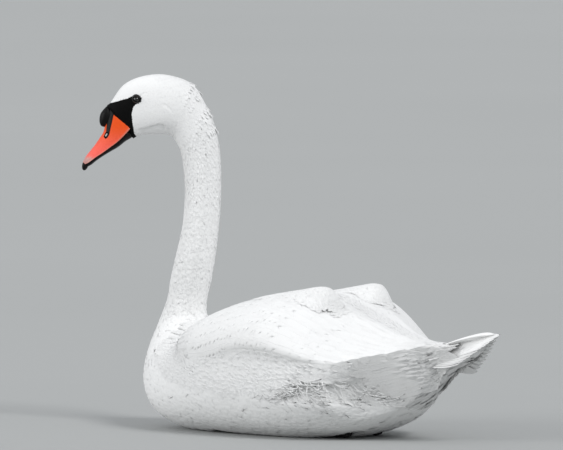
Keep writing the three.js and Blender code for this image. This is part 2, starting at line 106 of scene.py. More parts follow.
# %% A socket that can be added, multiplied and mixed
class Signal:
    """A socket of a node tree. Arithmetic on it adds Math nodes to its tree."""

    def __init__(self, tree, socket):
        self.tree = tree
        self.socket = socket

    def node(self, kind, settings=None, output=0, **inputs):
        """Any node: its settings are set first, then its sockets, by name with _ for a space or as input_N."""
        made = self.tree.nodes.new(kind)
        for name, value in (settings or {}).items():
            if name == "stops":
                ramp = made.color_ramp
                while len(ramp.elements) < len(value):
                    ramp.elements.new(1.0)
                for stop, (place, colour) in zip(ramp.elements, value):
                    stop.position = place
                    stop.color = (*colour, 1.0)
            else:
                setattr(made, name, value)
        for name, value in inputs.items():
            key = int(name[6:]) if name.startswith("input_") else name.replace("_", " ")
            socket = made.inputs[key]
            if isinstance(value, Signal):
                self.tree.links.new(value.socket, socket)
            else:
                socket.default_value = value
        return Signal(self.tree, made.outputs[output])

    def maths(self, operation, other=0.0, third=0.0):
        return self.node("ShaderNodeMath", {"operation": operation}, input_0=self, input_1=other, input_2=third)

    def __add__(self, other):
        return self.maths("ADD", other)

    def __mul__(self, other):
        return self.maths("MULTIPLY", other)

    def __sub__(self, other):
        return self.maths("SUBTRACT", other)

    def __rsub__(self, other):
        return (self * -1.0) + other

    __radd__ = __add__
    __rmul__ = __mul__

    def sine(self):
        return self.maths("SINE")

    def size(self):
        return self.maths("ABSOLUTE")

    def most(self, other):
        return self.maths("MAXIMUM", other)

    def step(self, low, high):
        """0 below low, 1 above high, with a smooth rise between. Low may be the higher of the two."""
        ends = {"interpolation_type": "SMOOTHSTEP"}
        if low > high:
            return 1.0 - self.step(high, low)
        return self.node("ShaderNodeMapRange", ends, Value=self, From_Min=low, From_Max=high)

    def blend(self, colour_0, colour_1):
        """The first colour where this signal is 0 and the second where it is 1."""
        values = {
            f"input_{k}": (*c, 1.0) if isinstance(c, tuple) else c for k, c in ((6, colour_0), (7, colour_1))
        }
        return self.node("ShaderNodeMix", {"data_type": "RGBA"}, output=2, input_0=self, **values)


# %% A new finish, its coordinates and its Principled shader
class Finish:
    """A material with a Principled shader. Signals made from it live in its node tree."""

    def __init__(self, name, **constants):
        self.material = bpy.data.materials.new(name)
        self.material.use_nodes = True
        self.tree = self.material.node_tree
        self.shader = self.tree.nodes["Principled BSDF"]
        for key, value in constants.items():
            self.shader.inputs[key.replace("_", " ")].default_value = value
        self.start = Signal(self.tree, None)

    def place(self):
        """The point's own coordinates in metres."""
        return self.start.node("ShaderNodeTexCoord", output=3)

    def attribute(self, name, output=2):
        """A number (output 2), or a vector (output 1), stored on the mesh."""
        return self.start.node("ShaderNodeAttribute", {"attribute_name": name}, output=output)

    def axes(self, vector):
        """The three numbers of a vector."""
        split = self.tree.nodes.new("ShaderNodeSeparateXYZ")
        self.tree.links.new(vector.socket, split.inputs[0])
        return [Signal(self.tree, split.outputs[k]) for k in range(3)]

    def noise(self, scale, detail=3.0, vector=None, stretch=None):
        """Cloudy noise about 0.5; scale is in grains a metre, and stretch makes the grain longer along an axis."""
        where = self.place() if vector is None else vector
        if stretch is not None:
            where = self.start.node("ShaderNodeMapping", Vector=where, Scale=stretch)
        return self.start.node("ShaderNodeTexNoise", Vector=where, Scale=scale, Detail=detail)

    def feed(self, socket, signal):
        self.tree.links.new(signal.socket, self.shader.inputs[socket])
        return self

    def rough(self, scale, spread, least, detail=3.0):
        """Roughness that varies by a noise times spread, above least."""
        return self.feed("Roughness", self.noise(scale, detail) * spread + least)

    def bump(self, height, distance, strength=1.0):
        """Relief: height is a signal of 0 to 1, distance what 1 is in metres."""
        relief = self.start.node("ShaderNodeBump", Height=height, Distance=distance, Strength=strength)
        return self.feed("Normal", relief)


# %% [markdown]
# ## Floor and light
#
# White plumage shows its form only by soft shade, so the light matters more than the colour. One big soft lamp high
# at the right rounds the neck and leaves the hollow stern in shade, a weaker one at the left keeps the breast from
# going grey, and a pale sky fills the rest. A backdrop could hide the swan from behind, so there is only a wide
# floor.

# %% Pale floor
floor_finish = Finish("studio_floor", Roughness=0.9)
floor_finish.feed(
    "Base Color", floor_finish.noise(0.6, 2.0).blend((0.40, 0.41, 0.405), (0.43, 0.44, 0.435))
)
floor_mesh = bpy.data.meshes.new("floor")
floor_half = 300.0
floor_mesh.from_pydata(
    [(x * floor_half, y * floor_half, 0.0) for x, y in ((-1, -1), (1, -1), (1, 1), (-1, 1))], [], [(0, 1, 2, 3)]
)
floor_mesh.materials.append(floor_finish.material)
floor = bpy.data.objects.new("floor", floor_mesh)
bpy.context.scene.collection.objects.link(floor)


# %% Two soft lamps and a pale sky
def soft_lamp(name, right, up, near, strength, width):
    """A far, soft lamp. Its direction is told as the viewer sees it; width is its size in the sky, in degrees."""
    lamp = bpy.data.lights.new(name, "SUN")
    lamp.energy = strength
    lamp.angle = np.radians(width)
    holder = bpy.data.objects.new(name, lamp)
    bpy.context.scene.collection.objects.link(holder)
    level = np.array([np.sin(AZIMUTH), -np.cos(AZIMUTH), 0.0])
    direction = across_view * right + np.array([0.0, 0.0, up]) + level * near
    holder.rotation_mode = "QUATERNION"
    holder.rotation_quaternion = Vector(direction).to_track_quat("Z", "Y")
    return holder


soft_lamp("key_lamp", 0.45, 0.68, 0.60, 1.40, 20.0)
soft_lamp("fill_lamp", -1.0, 0.32, 0.30, 1.15, 35.0)
sky = bpy.data.worlds.new("sky")
sky.use_nodes = True
sky.node_tree.nodes["Background"].inputs[0].default_value = (0.62, 0.635, 0.66, 1.0)
sky.node_tree.nodes["Background"].inputs[1].default_value = 0.95
bpy.context.scene.world = sky
bpy.context.scene.view_settings.view_transform = "Standard"

# %% [markdown]
# ## Surfaces on a grid
#
# A feather has to know where it grows, which way the coat lies there and which way is out. All of that comes from a
# surface that is known at the points of a fine grid: `u` runs along it and `v` round it, both from 0 to 1, and
# everything between the points is a weighted mean of the four nearest.


# %% Small helpers
def lerp(a, b, f):
    return a + (b - a) * f


def smooth(value, low, high):
    """0 below low and 1 above high, easing in and out between: 3f² − 2f³."""
    f = np.clip((np.asarray(value, float) - low) / (high - low), 0.0, 1.0)
    return f * f * (3.0 - 2.0 * f)


def unit(vectors):
    return vectors / np.maximum(np.linalg.norm(vectors, axis=-1, keepdims=True), 1e-12)


def spline(rows, place):
    """Catmull-Rom curve through rows of numbers: place counts rows from 0, and may be an array of any shape."""
    rows = np.asarray(rows, float)
    padded = np.vstack([2 * rows[0] - rows[1], rows, 2 * rows[-1] - rows[-2]])
    at = np.clip(place, 0, len(rows) - 1)
    i = np.minimum(np.floor(at).astype(int), len(rows) - 2)
    f = (at - i)[..., None]
    p0, p1, p2, p3 = (padded[i + k] for k in range(4))
    cubic = -p0 + 3 * p1 - 3 * p2 + p3
    square = 2 * p0 - 5 * p1 + 4 * p2 - p3
    return 0.5 * (2 * p1 + (p2 - p0) * f + square * f**2 + cubic * f**3)


def round_ring(columns):
    """Angles at even steps once round, as one row."""
    return np.linspace(0, 2 * np.pi, columns + 1)[None, :-1]


class Surface:
    """Points on a grid, with the directions along, round and out at each. Any place between is interpolated."""

    def __init__(self, points, closed):
        self.points = points
        self.closed = closed
        self.rows, self.columns = points.shape[:2]
        self.along = np.gradient(points, axis=0) * (self.rows - 1)
        if closed:
            self.round = (np.roll(points, -1, 1) - np.roll(points, 1, 1)) / 2 * self.columns
        else:
            self.round = np.gradient(points, axis=1) * (self.columns - 1)
        self.out = unit(np.cross(self.round, self.along))
        self.table = np.concatenate([points, self.along, self.round, self.out], axis=2).astype(np.float32)

    def at(self, u, v):
        """Point, along, round and out at (u, v): a bilinear mean, carried on in a straight line past an end."""
        x = u * (self.rows - 1)
        i = np.clip(np.floor(x), 0, self.rows - 2).astype(int)
        fx = (x - i)[..., None]
        if self.closed:
            y = (v % 1.0) * self.columns
            j = np.floor(y).astype(int) % self.columns
            k = (j + 1) % self.columns
            fy = (y - np.floor(y))[..., None]
        else:
            y = v * (self.columns - 1)
            j = np.clip(np.floor(y), 0, self.columns - 2).astype(int)
            k = j + 1
            fy = (y - j)[..., None]
        fx, fy = np.clip(fx, -2, 3), np.clip(fy, -2, 3)
        t = self.table
        found = lerp(lerp(t[i, j], t[i, k], fy), lerp(t[i + 1, j], t[i + 1, k], fy), fx)
        return found[..., 0:3], found[..., 3:6], found[..., 6:9], unit(found[..., 9:12])


def evenly(points, count, closed):
    """Each row of points laid out again in equal steps of its own length, so that v is a share of the way round."""
    if closed:
        points = np.concatenate([points, points[:, :1]], axis=1)
    lengths = np.linalg.norm(np.diff(points, axis=1), axis=2)
    gone = np.concatenate([np.zeros((len(points), 1)), np.cumsum(lengths, axis=1)], axis=1)
    wanted = np.linspace(0, 1, count + 1)[:-1] if closed else np.linspace(0, 1, count)
    return np.stack(
        [
            np.stack([np.interp(wanted * g[-1], g, row[:, k]) for k in range(3)], axis=1)
            for row, g in zip(points, gone)
        ]
    )


# %% [markdown]
# ## The body's form
#
# Head, neck, breast, trunk and stern are one tube, hung on stations from the bill's base over the crown, down the
# neck and back to the tail. A station has a point of the back, a point of the belly, a half width and an exponent:
# 2 makes an ellipse and more makes it boxier. The head is turned by twisting the neck about an upright line.

# %% Stations of the body tube, in millimetres: back x, z, belly x, z, half width, squareness
STATIONS = {
    "bill_base": (-369, 500, -328, 448.5, 17.5, 2.2),
    "lore": (-346, 530, -316, 451, 24, 2.2),
    "brow": (-312, 543.5, -300, 452, 30.5, 2.2),
    "crown": (-276, 543.5, -286, 453, 33, 2.1),
    "occiput": (-240, 528.5, -275, 450, 32, 2),
    "nape": (-217, 491, -268, 442, 30, 2),
    "throat": (-204, 458, -261, 428, 29, 2),
    "neck_top": (-197.5, 415, -256, 405, 28.5, 2),
    "neck_upper": (-196.5, 360, -253.5, 360, 28.5, 2),
    "neck_middle": (-200, 310, -257.5, 310, 29, 2),
    "neck_lower": (-206, 267, -268.5, 267, 30.5, 2),
    "neck_base": (-216, 230, -281, 230, 32, 2),
    "crop": (-228, 197, -292, 193, 32, 2),
    "breast_top": (-229, 173, -309, 157, 37, 2),
    "breast_front": (-222, 162, -313, 120, 57, 2.1),
    "breast_low": (-208, 158, -309, 80, 79, 2.1),
    "shoulders": (-187, 160, -294, 43, 99, 2.15),
    "forebelly": (-155, 165, -262, 12, 118, 2.2),
    "chest": (-115, 173, -205, -5, 137, 2.2),
    "flank": (-65, 182, -125, -9, 151, 2.25),
    "middle": (0, 186, -30, -9, 158, 2.3),
    "haunch": (70, 185, 60, -7, 156, 2.25),
    "rump": (132, 173, 140, 6, 139, 2.15),
    "vent": (182, 157, 207, 32, 112, 2.1),
    "stern_low": (222, 145, 258, 62, 84, 2.05),
    "stern_high": (252, 136, 294, 94, 60, 2),
    "tail_base": (278, 133, 322, 118, 38, 2),
    "covert_end": (340, 141, 352, 130, 24, 2),
}
STATION = {name: k for k, name in enumerate(STATIONS)}
LAST = len(STATIONS) - 1
TURN_X = -225.0
HEAD_TURN = np.radians(45.0)


def head_turned(points, turn=HEAD_TURN):
    """Points turned with the head about the upright line through x = TURN_X."""
    out, side = points[..., 0] - TURN_X, points[..., 1]
    cosine, sine = np.cos(turn), np.sin(turn)
    return np.stack([TURN_X + out * cosine - side * sine, out * sine + side * cosine, points[..., 2]], axis=-1)


def body_point(place, angle):
    """A point of the tube: the section's superellipse, r = (|cos|ⁿ + |sin|ⁿ)^(−1/n), hung between back and belly."""
    back_x, back_z, belly_x, belly_z, half, n = np.moveaxis(spline(list(STATIONS.values()), place), -1, 0)
    reach = (np.abs(np.cos(angle)) ** n + np.abs(np.sin(angle)) ** n) ** (-1 / n)
    up, side = reach * np.cos(angle), reach * np.sin(angle)
    x = (back_x + belly_x) / 2 + (back_x - belly_x) / 2 * up
    z = (back_z + belly_z) / 2 + (back_z - belly_z) / 2 * up
    turn = HEAD_TURN * (1 - smooth(place, STATION["neck_top"], STATION["crop"]))
    return head_turned(np.stack([x, -half * side, np.maximum(z, 0)], axis=-1), turn)


# %% The head's own plane: creases of the cheek, the brow and the jaw
def head_plane(points):
    """x along the head and z up it, in millimetres, as if it looked straight ahead; y is its right-hand side."""
    return head_turned(points, -HEAD_TURN)


def along_line(points, line):
    """Distance of each (x, z) from a line of points, positive above it, and how far along the line, 0 to 1."""
    line = np.asarray(line, float)
    best = np.full(points.shape[:-1], 1e9)
    above, place = np.zeros_like(best), np.zeros_like(best)
    for k, (a, b) in enumerate(zip(line[:-1], line[1:])):
        d = b - a
        f = np.clip(((points - a) @ d) / (d @ d), 0, 1)
        gap = points - (a + f[..., None] * d)
        far = np.hypot(gap[..., 0], gap[..., 1])
        side = np.sign(d[0] * gap[..., 1] - d[1] * gap[..., 0])
        nearer = far < best
        best = np.where(nearer, far, best)
        above = np.where(nearer, side, above)
        place = np.where(nearer, (k + f) / (len(line) - 1), place)
    return best * above, place


JAW = [(-331, 459), (-315, 460.5), (-304, 464.3), (-293, 467.5), (-286, 466), (-281, 458)]
CHEEK = [(-289, 500.5), (-283, 499), (-277.5, 493.5), (-271.5, 486)]
BROW = [(-323, 511.5), (-317, 516), (-311, 519)]


def creases(points, place):
    """How far in the coat lies at the head's folds: a step under the jaw line, and shallow grooves elsewhere."""
    plane = head_plane(points)[..., [0, 2]]
    gap, f = along_line(plane, JAW)
    ends = smooth(f, 0.02, 0.2) * (1 - smooth(f, 0.85, 1.0))
    depth = 3.6 * ends * np.where(gap < 0, np.exp(gap / 7.0), np.exp(-gap / 0.9))
    gap, f = along_line(plane, CHEEK)
    depth += 0.9 * smooth(f, 0.0, 0.3) * (1 - smooth(f, 0.7, 1.0)) * np.exp(-((gap / 1.8) ** 2))
    gap, f = along_line(plane, BROW)
    depth += 0.8 * (1 - smooth(f, 0.5, 1.0)) * np.exp(-((gap / 1.2) ** 2))
    return depth * (place < STATION["throat"])


HOLLOW_X, HOLLOW_Z, HOLLOW_DEEP = (142.0, 62.0), (80.0, 19.0), 13.0


def hollow(points):
    """Where the loose flank feathers part above the waterline: exp(−(dx/half)⁴ − (dz/half)⁴) of the full depth."""
    across, up = (points[..., 0] - HOLLOW_X[0]) / HOLLOW_X[1], (points[..., 2] - HOLLOW_Z[0]) / HOLLOW_Z[1]
    return HOLLOW_DEEP * np.exp(-(across**4) - up**4) * (np.abs(points[..., 1]) > 60)


POCKET = [
    (-238, 172), (-205, 166), (-185, 160), (-168, 150), (-150, 134), (-125, 119), (-50, 126), (-5, 138), (85, 143),
    (130, 131), (175, 121), (198, 127), (298, 150), (385, 137),
]
STERN_HALF = [(150, 150), (175, 130), (220, 102), (262, 71), (300, 46), (345, 31), (390, 20)]
STERN_LEAN, STERN_ROUND = 0.62, 0.45


def pocket_edge(x):
    """Height of the line where the flank feathers end and the wing shows."""
    return np.interp(x, *np.transpose(POCKET))


def stern_side(x, z):
    """Half width of the stern: widest at the pocket's edge, leaning in by STERN_LEAN of the way down from it."""
    return np.interp(x, *np.transpose(STERN_HALF)) - STERN_LEAN * (pocket_edge(x) - z)


def leaned(points):
    """The body with its stern drawn in to the leaning sides, by a soft minimum: −3·ln(e^(−a/3) + e^(−b/3))."""
    side = np.abs(points[..., 1])
    drawn = -3.0 * np.logaddexp(-side / 3.0, -(stern_side(points[..., 0], points[..., 2]) - 2.0) / 3.0)
    amount = smooth(points[..., 0], 150, 200) * (side > 12)
    return np.sign(points[..., 1]) * lerp(side, np.clip(drawn, STERN_ROUND * side, side), amount)


FEET_LINE, FEET_ROOM = np.array([(134.0, 32.0, 13.0), (18.0, 45.0, 14.0), (-112.0, 52.0, 29.0)]), 24.0


def feet_room(points):
    """Height of the hollow in the belly's feathers where a foot lies: full within a half width of the foot's line."""
    x, y = points[..., 0], np.abs(points[..., 1])
    reach = FEET_LINE[:, 0]
    middle, half = (np.interp(-x, -reach, FEET_LINE[:, k]) for k in (1, 2))
    beyond = np.maximum(x - reach[0], reach[-1] - x).clip(0)
    return FEET_ROOM * (1 - smooth(np.hypot((y - middle) / half, beyond / 14.0), 0.85, 1.25))


# %% The body as a grid
BODY_ROWS, BODY_COLUMNS = 900, 320
body_place, body_angle = np.meshgrid(
    np.linspace(0, LAST, BODY_ROWS), np.linspace(0, 2 * np.pi, 513)[:-1], indexing="ij"
)
body_points = evenly(body_point(body_place, body_angle), BODY_COLUMNS, closed=True)
body_points[..., 1] = leaned(body_points)
body_points[..., 2] = np.maximum(body_points[..., 2], feet_room(body_points))
plain_body = Surface(body_points * MM, closed=True)
row_place = np.broadcast_to(np.linspace(0, LAST, BODY_ROWS)[:, None], body_points.shape[:2])
sunk = creases(body_points, row_place) + hollow(body_points)
folded = body_points - plain_body.out * sunk[..., None]
body = Surface(folded * MM, closed=True)
print("body", body.points.shape, "from", body.points.min((0, 1)).round(3), "to", body.points.max((0, 1)).round(3))

# %% [markdown]
# ## Pieces from grids
#
# Whatever the surface, its mesh is made the same way: the points of the grid in one array, four corners to a face
# in another, and a pole of one point where an end has to close.


# %% Mesh makers
def grid_faces(rows, columns, closed=False):
    """Corner numbers of the quads of a grid, wound so that they face along round × along."""
    i, j = np.meshgrid(np.arange(rows - 1), np.arange(columns if closed else columns - 1), indexing="ij")
    nxt = (j + 1) % columns
    return np.stack([i * columns + j, i * columns + nxt, (i + 1) * columns + nxt, (i + 1) * columns + j], -1).reshape(
        -1, 4
    )


def new_piece(name, vertices, quads, triangles=None, finish=None, smooth_faces=True):
    """A mesh object from an array of points in metres and arrays of corners."""
    quads = np.asarray(quads, np.int32).reshape(-1, 4)
    triangles = np.zeros((0, 3), np.int32) if triangles is None else np.asarray(triangles, np.int32).reshape(-1, 3)
    mesh = bpy.data.meshes.new(name)
    mesh.vertices.add(len(vertices))
    mesh.vertices.foreach_set("co", np.ascontiguousarray(vertices, np.float32).ravel())
    corners = np.concatenate([quads.ravel(), triangles.ravel()])
    mesh.loops.add(len(corners))
    mesh.loops.foreach_set("vertex_index", corners)
    starts = np.concatenate([np.arange(len(quads)) * 4, len(quads) * 4 + np.arange(len(triangles)) * 3])
    mesh.polygons.add(len(starts))
    mesh.polygons.foreach_set("loop_start", starts.astype(np.int32))
    mesh.polygons.foreach_set("use_smooth", np.full(len(starts), smooth_faces))
    mesh.update(calc_edges=True)
    mesh.validate()
    piece = bpy.data.objects.new(name, mesh)
    bpy.context.scene.collection.objects.link(piece)
    if finish is not None:
        mesh.materials.append(finish.material)
    return piece


def mark(piece, name, values):
    """A number, or a vector, for every vertex."""
    values = np.ascontiguousarray(values, np.float32)
    kind, key = ("FLOAT", "value") if values.ndim == 1 else ("FLOAT_VECTOR", "vector")
    piece.data.attributes.new(name, kind, "POINT").data.foreach_set(key, values.ravel())


def add_map(piece, name, by_vertex):
    """A UV map from one (u, v) for every vertex."""
    corners = np.zeros(len(piece.data.loops), np.int32)
    piece.data.loops.foreach_get("vertex_index", corners)
    layer = piece.data.uv_layers.new(name=name)
    layer.data.foreach_set("uv", np.ascontiguousarray(by_vertex[corners], np.float32).ravel())


def closed_grid(points):
    """Vertices, quads and triangles of a tube of rings, with a pole at the middle of each end ring."""
    rows, columns = points.shape[:2]
    vertices = np.concatenate([points.reshape(-1, 3), points[:1].mean(1), points[-1:].mean(1)])
    j = np.arange(columns)
    nxt = (j + 1) % columns
    first, last = rows * columns, rows * columns + 1
    base = (rows - 1) * columns
    caps = np.concatenate([np.stack([nxt, j, j * 0 + first], 1), np.stack([base + j, base + nxt, j * 0 + last], 1)])
    return vertices, grid_faces(rows, columns, closed=True), caps


def in_head(form):
    """A closed form drawn in the head's own plane, in millimetres, turned with the head and put into metres."""
    return closed_grid(head_turned(form) * MM)


SIDES = ("left", "right")


def on_side(side, name, form, finish):
    """A closed form as it is on the right, or mirrored, with its corners taken the other way round, on the left."""
    vertices, quads, caps = form
    flip = -1 if side == "left" else 1
    order = (slice(None), slice(None, None, flip))
    return new_piece(f"{name}_{side}", vertices * (1, flip, 1), quads[order], caps[order], finish)


def belongs(piece, slot, *nodes):
    """The piece rides on the swan and stands for CAD nodes, which are hidden. slot is not used."""
    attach(piece, "root")
    if nodes:
        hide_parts(*nodes)
    print(piece.name, len(piece.data.polygons), "faces")


# %% [markdown]
# ## Finishes of the bird
#
# Plumage is white but never one white: every feather is a little warmer or greyer than the next, and barbs run out
# slantwise from its shaft. The number `tone` tells each feather's own shade, with painted shade added toward its
# root, where the next feathers cover it, and over the stern, which lies in shadow. The map `vane` tells where on the
# feather a point is, so that the barbs follow it. The bare face is black, leathery skin.


# %% Plumage, in a fine grade for the short feathers and a barbed one for the long
WHITE, SHADE = (0.90, 0.90, 0.893), (0.78, 0.78, 0.772)


def plumage(name, barbs):
    """White feather: tone mixes in the grey SHADE, for each feather's own tone and for painted shade, with slanting
    barbs along the vane where they are asked for.
    """
    finish = Finish(name, Roughness=0.8, Sheen_Weight=0.12, Specular_IOR_Level=0.25)
    cloud = finish.noise(55.0, 3.0)
    tone = finish.attribute("tone")
    colour = (tone * 0.75 + (cloud - 0.5) * 0.35).step(0.0, 1.0).blend(WHITE, SHADE)
    finish.feed("Base Color", colour)
    finish.rough(900.0, 0.2, 0.68, detail=2.0)
    if barbs:
        q, s, _ = finish.axes(finish.start.node("ShaderNodeUVMap", {"uv_map": "vane"}))
        slant = s * (barbs * 1.0) - (q - 0.5).size() * (barbs * 0.32)
        grain = finish.noise(400.0, 2.0)
        ridge = ((slant + grain * 1.2) * 6.2832).sine() * 0.5 + 0.5
        shaft = (q - 0.5).size().step(0.035, 0.0)
        finish.bump(ridge * 0.35 + shaft * 1.0, 0.0006, 0.6)
    else:
        finish.bump(finish.noise(700.0, 3.0, stretch=(1.0, 1.0, 0.35)), 0.0008, 0.5)
    return finish


down = plumage("plumage_short", 0)
vaned = plumage("plumage_vaned", 46.0)

# %% Bare black skin of the face
face_black = Finish("bare_face", Roughness=0.55, Specular_IOR_Level=0.07)
pebbles = face_black.start.node("ShaderNodeTexVoronoi", Vector=face_black.place(), Scale=900.0)
face_black.feed("Base Color", face_black.noise(300.0).blend((0.001, 0.001, 0.001), (0.004, 0.004, 0.004)))
face_black.rough(220.0, 0.3, 0.38)
face_black.bump(pebbles * 0.7 + face_black.noise(1400.0) * 0.5, 0.0005, 0.7)

# %% [markdown]
# ## The skin
#
# One closed skin runs from the bill's base to the tail, so no seam shows between the lengths of the CAD body. It
# lies under the coat by the coat's own depth: a millimetre on the face, about eight on the flanks. At the bare face
# there is no coat, so the skin comes up to the full form there, and it is black.

# %% Outline of the bare face and depth of the coat
EYE_X, EYE_Z = -327.3, 507.6
FACE_END, FAR = 3.2, 99.0  # the station where the face ends, and the distance told for what lies beyond it
BARE_FACE = [
    (-392, 505), (-369.9, 499.5), (-358, 503), (-340.8, 508.3), (-334, 512.3), (-329.5, 514), (-324, 513.2),
    (-320.6, 509), (-321.5, 503.5), (-326.5, 500.2), (-329.8, 499.5), (-333.2, 495.1), (-336.0, 485.4),
    (-335.3, 478), (-334.8, 472.4), (-333.0, 461.6), (-332.3, 455.5), (-331, 446), (-352, 430), (-392, 430),
]


def beyond_outline(points, outline):
    """Distance of each (x, z) from a closed outline, negative inside it."""
    corners = np.asarray(outline, float)
    far = np.full(points.shape[:-1], 1e9)
    inside = np.zeros(points.shape[:-1], bool)
    for a, b in zip(corners, np.roll(corners, -1, axis=0)):
        d = b - a
        f = np.clip(((points - a) @ d) / (d @ d), 0, 1)
        gap = points - (a + f[..., None] * d)
        far = np.minimum(far, np.hypot(gap[..., 0], gap[..., 1]))
        crosses = (a[1] > points[..., 1]) != (b[1] > points[..., 1])
        level = np.where(crosses, a[0] + (points[..., 1] - a[1]) * d[0] / (d[1] if d[1] else 1e-9), -1e9)
        inside ^= crosses & (points[..., 0] < level)
    return np.where(inside, -far, far)


def face_distance(points, place):
    """Millimetres from the bare face; the body beyond the cheeks counts as far away."""
    found = beyond_outline(head_plane(points)[..., [0, 2]], BARE_FACE)
    return np.where(place < FACE_END, found, FAR)


DEPTHS = [
    (0, 0.9), (1.5, 1.4), (3, 2.2), (5, 3.0), (8, 3.4), (12, 4.2), (15, 6.5), (18, 8.0), (23, 8.0), (26, 5.0),
    (27, 4.0),
]


def coat_depth(place):
    """Depth of the coat in millimetres along the tube."""
    places, depths = zip(*DEPTHS)
    return np.interp(place, places, depths)


# %% The skin's mesh, finer on the head
BARE_DEEP, SOCKET_DEEP, SOCKET_EDGE, LOWEST = 0.15, 7.0, (4.6, 6.6), 0.0012
skin_place = np.concatenate([np.linspace(0, 4, 240), np.linspace(4.05, 12, 90), np.linspace(12.15, LAST, 110)])
skin_u, skin_v = np.meshgrid(skin_place / LAST, np.arange(220) / 220, indexing="ij")
skin_points, _, _, skin_out = body.at(skin_u, skin_v)
skin_bare = 1 - smooth(face_distance(skin_points / MM, skin_u * LAST), 0.5, 1.6)
skin_bare[:3] = 1
skin_in = coat_depth(skin_u * LAST) * (1 - skin_bare) + BARE_DEEP * skin_bare
socket = np.hypot(*(head_plane(skin_points / MM)[..., [0, 2]] - (EYE_X, EYE_Z)).T).T
skin_in += SOCKET_DEEP * (1 - smooth(socket, *SOCKET_EDGE)) * (skin_u * LAST < 3)
skin_points = skin_points - skin_out * skin_in[..., None] * MM
skin_points[..., 2] = np.maximum(skin_points[..., 2], LOWEST)
inside_bill = head_turned(head_plane(skin_points[:1] / MM) * (1, 0.8, 1) - (4.5, 0, 3.0)) * MM
skin_points = np.concatenate([inside_bill, skin_points])
skin_bare = np.concatenate([skin_bare[:1] * 0 + 1, skin_bare])

skin_finish = Finish("skin", Roughness=0.7, Specular_IOR_Level=0.07)
bare = skin_finish.attribute("bare")
pale = skin_finish.noise(120.0).blend((0.86, 0.855, 0.84), (0.78, 0.775, 0.76))
black = skin_finish.noise(300.0).blend((0.001, 0.001, 0.001), (0.004, 0.004, 0.004))
skin_finish.feed("Base Color", bare.blend(pale, black))
skin_finish.rough(220.0, 0.3, 0.42)
leather = skin_finish.start.node("ShaderNodeTexVoronoi", Vector=skin_finish.place(), Scale=800.0)
skin_finish.bump(leather * 0.6 + skin_finish.noise(1300.0) * 0.5, 0.0006, 0.7)

vertices, quads, caps = closed_grid(skin_points)
skin = new_piece("skin", vertices, quads, caps, skin_finish)
mark(skin, "bare", np.append(skin_bare.ravel(), [1.0, 0.0]))
belongs(skin, "plumage", "head", "neck_upper", "neck_middle", "neck_lower", "breast", "trunk", "rump")

# %% [markdown]
# ## How a coat is laid
#
# Feathers grow in rows, each row shifted by half a feather from the last, so that a tip always covers the gap
# between two others. Scattering them at random would leave bald spots. So columns run along the coat, roots are
# stepped off along each column, and where the body narrows every second column ends, as rows do on a real neck.


# %% Roots in staggered rows
def stagger(surface, u_ends, v_ends, gap_along, gap_across, seed, jitter=0.18):
    """Roots at even steps along columns: returns u, v and the real gap to the next column in metres.

    Steps of a column are its running length over the gap along. Level L keeps one column in 2^L, where the columns
    would otherwise stand closer than the gap across.
    """
    rng = np.random.default_rng(seed)
    us = np.linspace(*u_ends, 500)
    middle = np.full_like(us, np.mean(v_ends))
    span = v_ends[1] - v_ends[0]
    girth = np.linalg.norm(surface.at(us, middle)[2], axis=1) * span
    count = int(np.ceil((girth / gap_across(us)).max()))
    level_of = np.clip(np.round(np.log2(np.maximum(gap_across(us) * count / girth, 1e-6))), 0, 6)
    found_u, found_v, found_gap = [], [], []
    for level in range(int(level_of.max()) + 1):
        for order, j in enumerate(range(0, count, 2**level)):
            v = v_ends[0] + (j + 0.5) / count * span
            speed = np.linalg.norm(surface.at(us, np.full_like(us, v))[1], axis=1) / gap_along(us)
            gone = np.concatenate([[0], np.cumsum((speed[1:] + speed[:-1]) / 2 * np.diff(us))])
            steps = np.arange(0.1 + 0.5 * (order % 2), gone[-1], 1.0)
            u = np.interp(steps + rng.normal(0, jitter, len(steps)), gone, us)
            kept = u[np.interp(u, us, level_of).round() == level]
            gap = np.interp(kept, us, girth) / count * 2**level
            found_u.append(kept)
            found_v.append(v + rng.normal(0, jitter * 0.8, len(kept)) * span / count * 2**level)
            found_gap.append(gap)
    return np.concatenate(found_u), np.concatenate(found_v), np.concatenate(found_gap)


# %% Feathers as small sheets that follow the surface
def vane_width(s, point):
    """Share of a feather's full width at s: widening from the quill, then closing in to the tip."""
    rise = 0.35 + 0.65 * np.sin(np.pi / 2 * np.clip(s / 0.55, 0, 1))
    close = np.clip((s - 0.6) / 0.4, 0, 1)
    return rise * (1 - point * close**2.2)


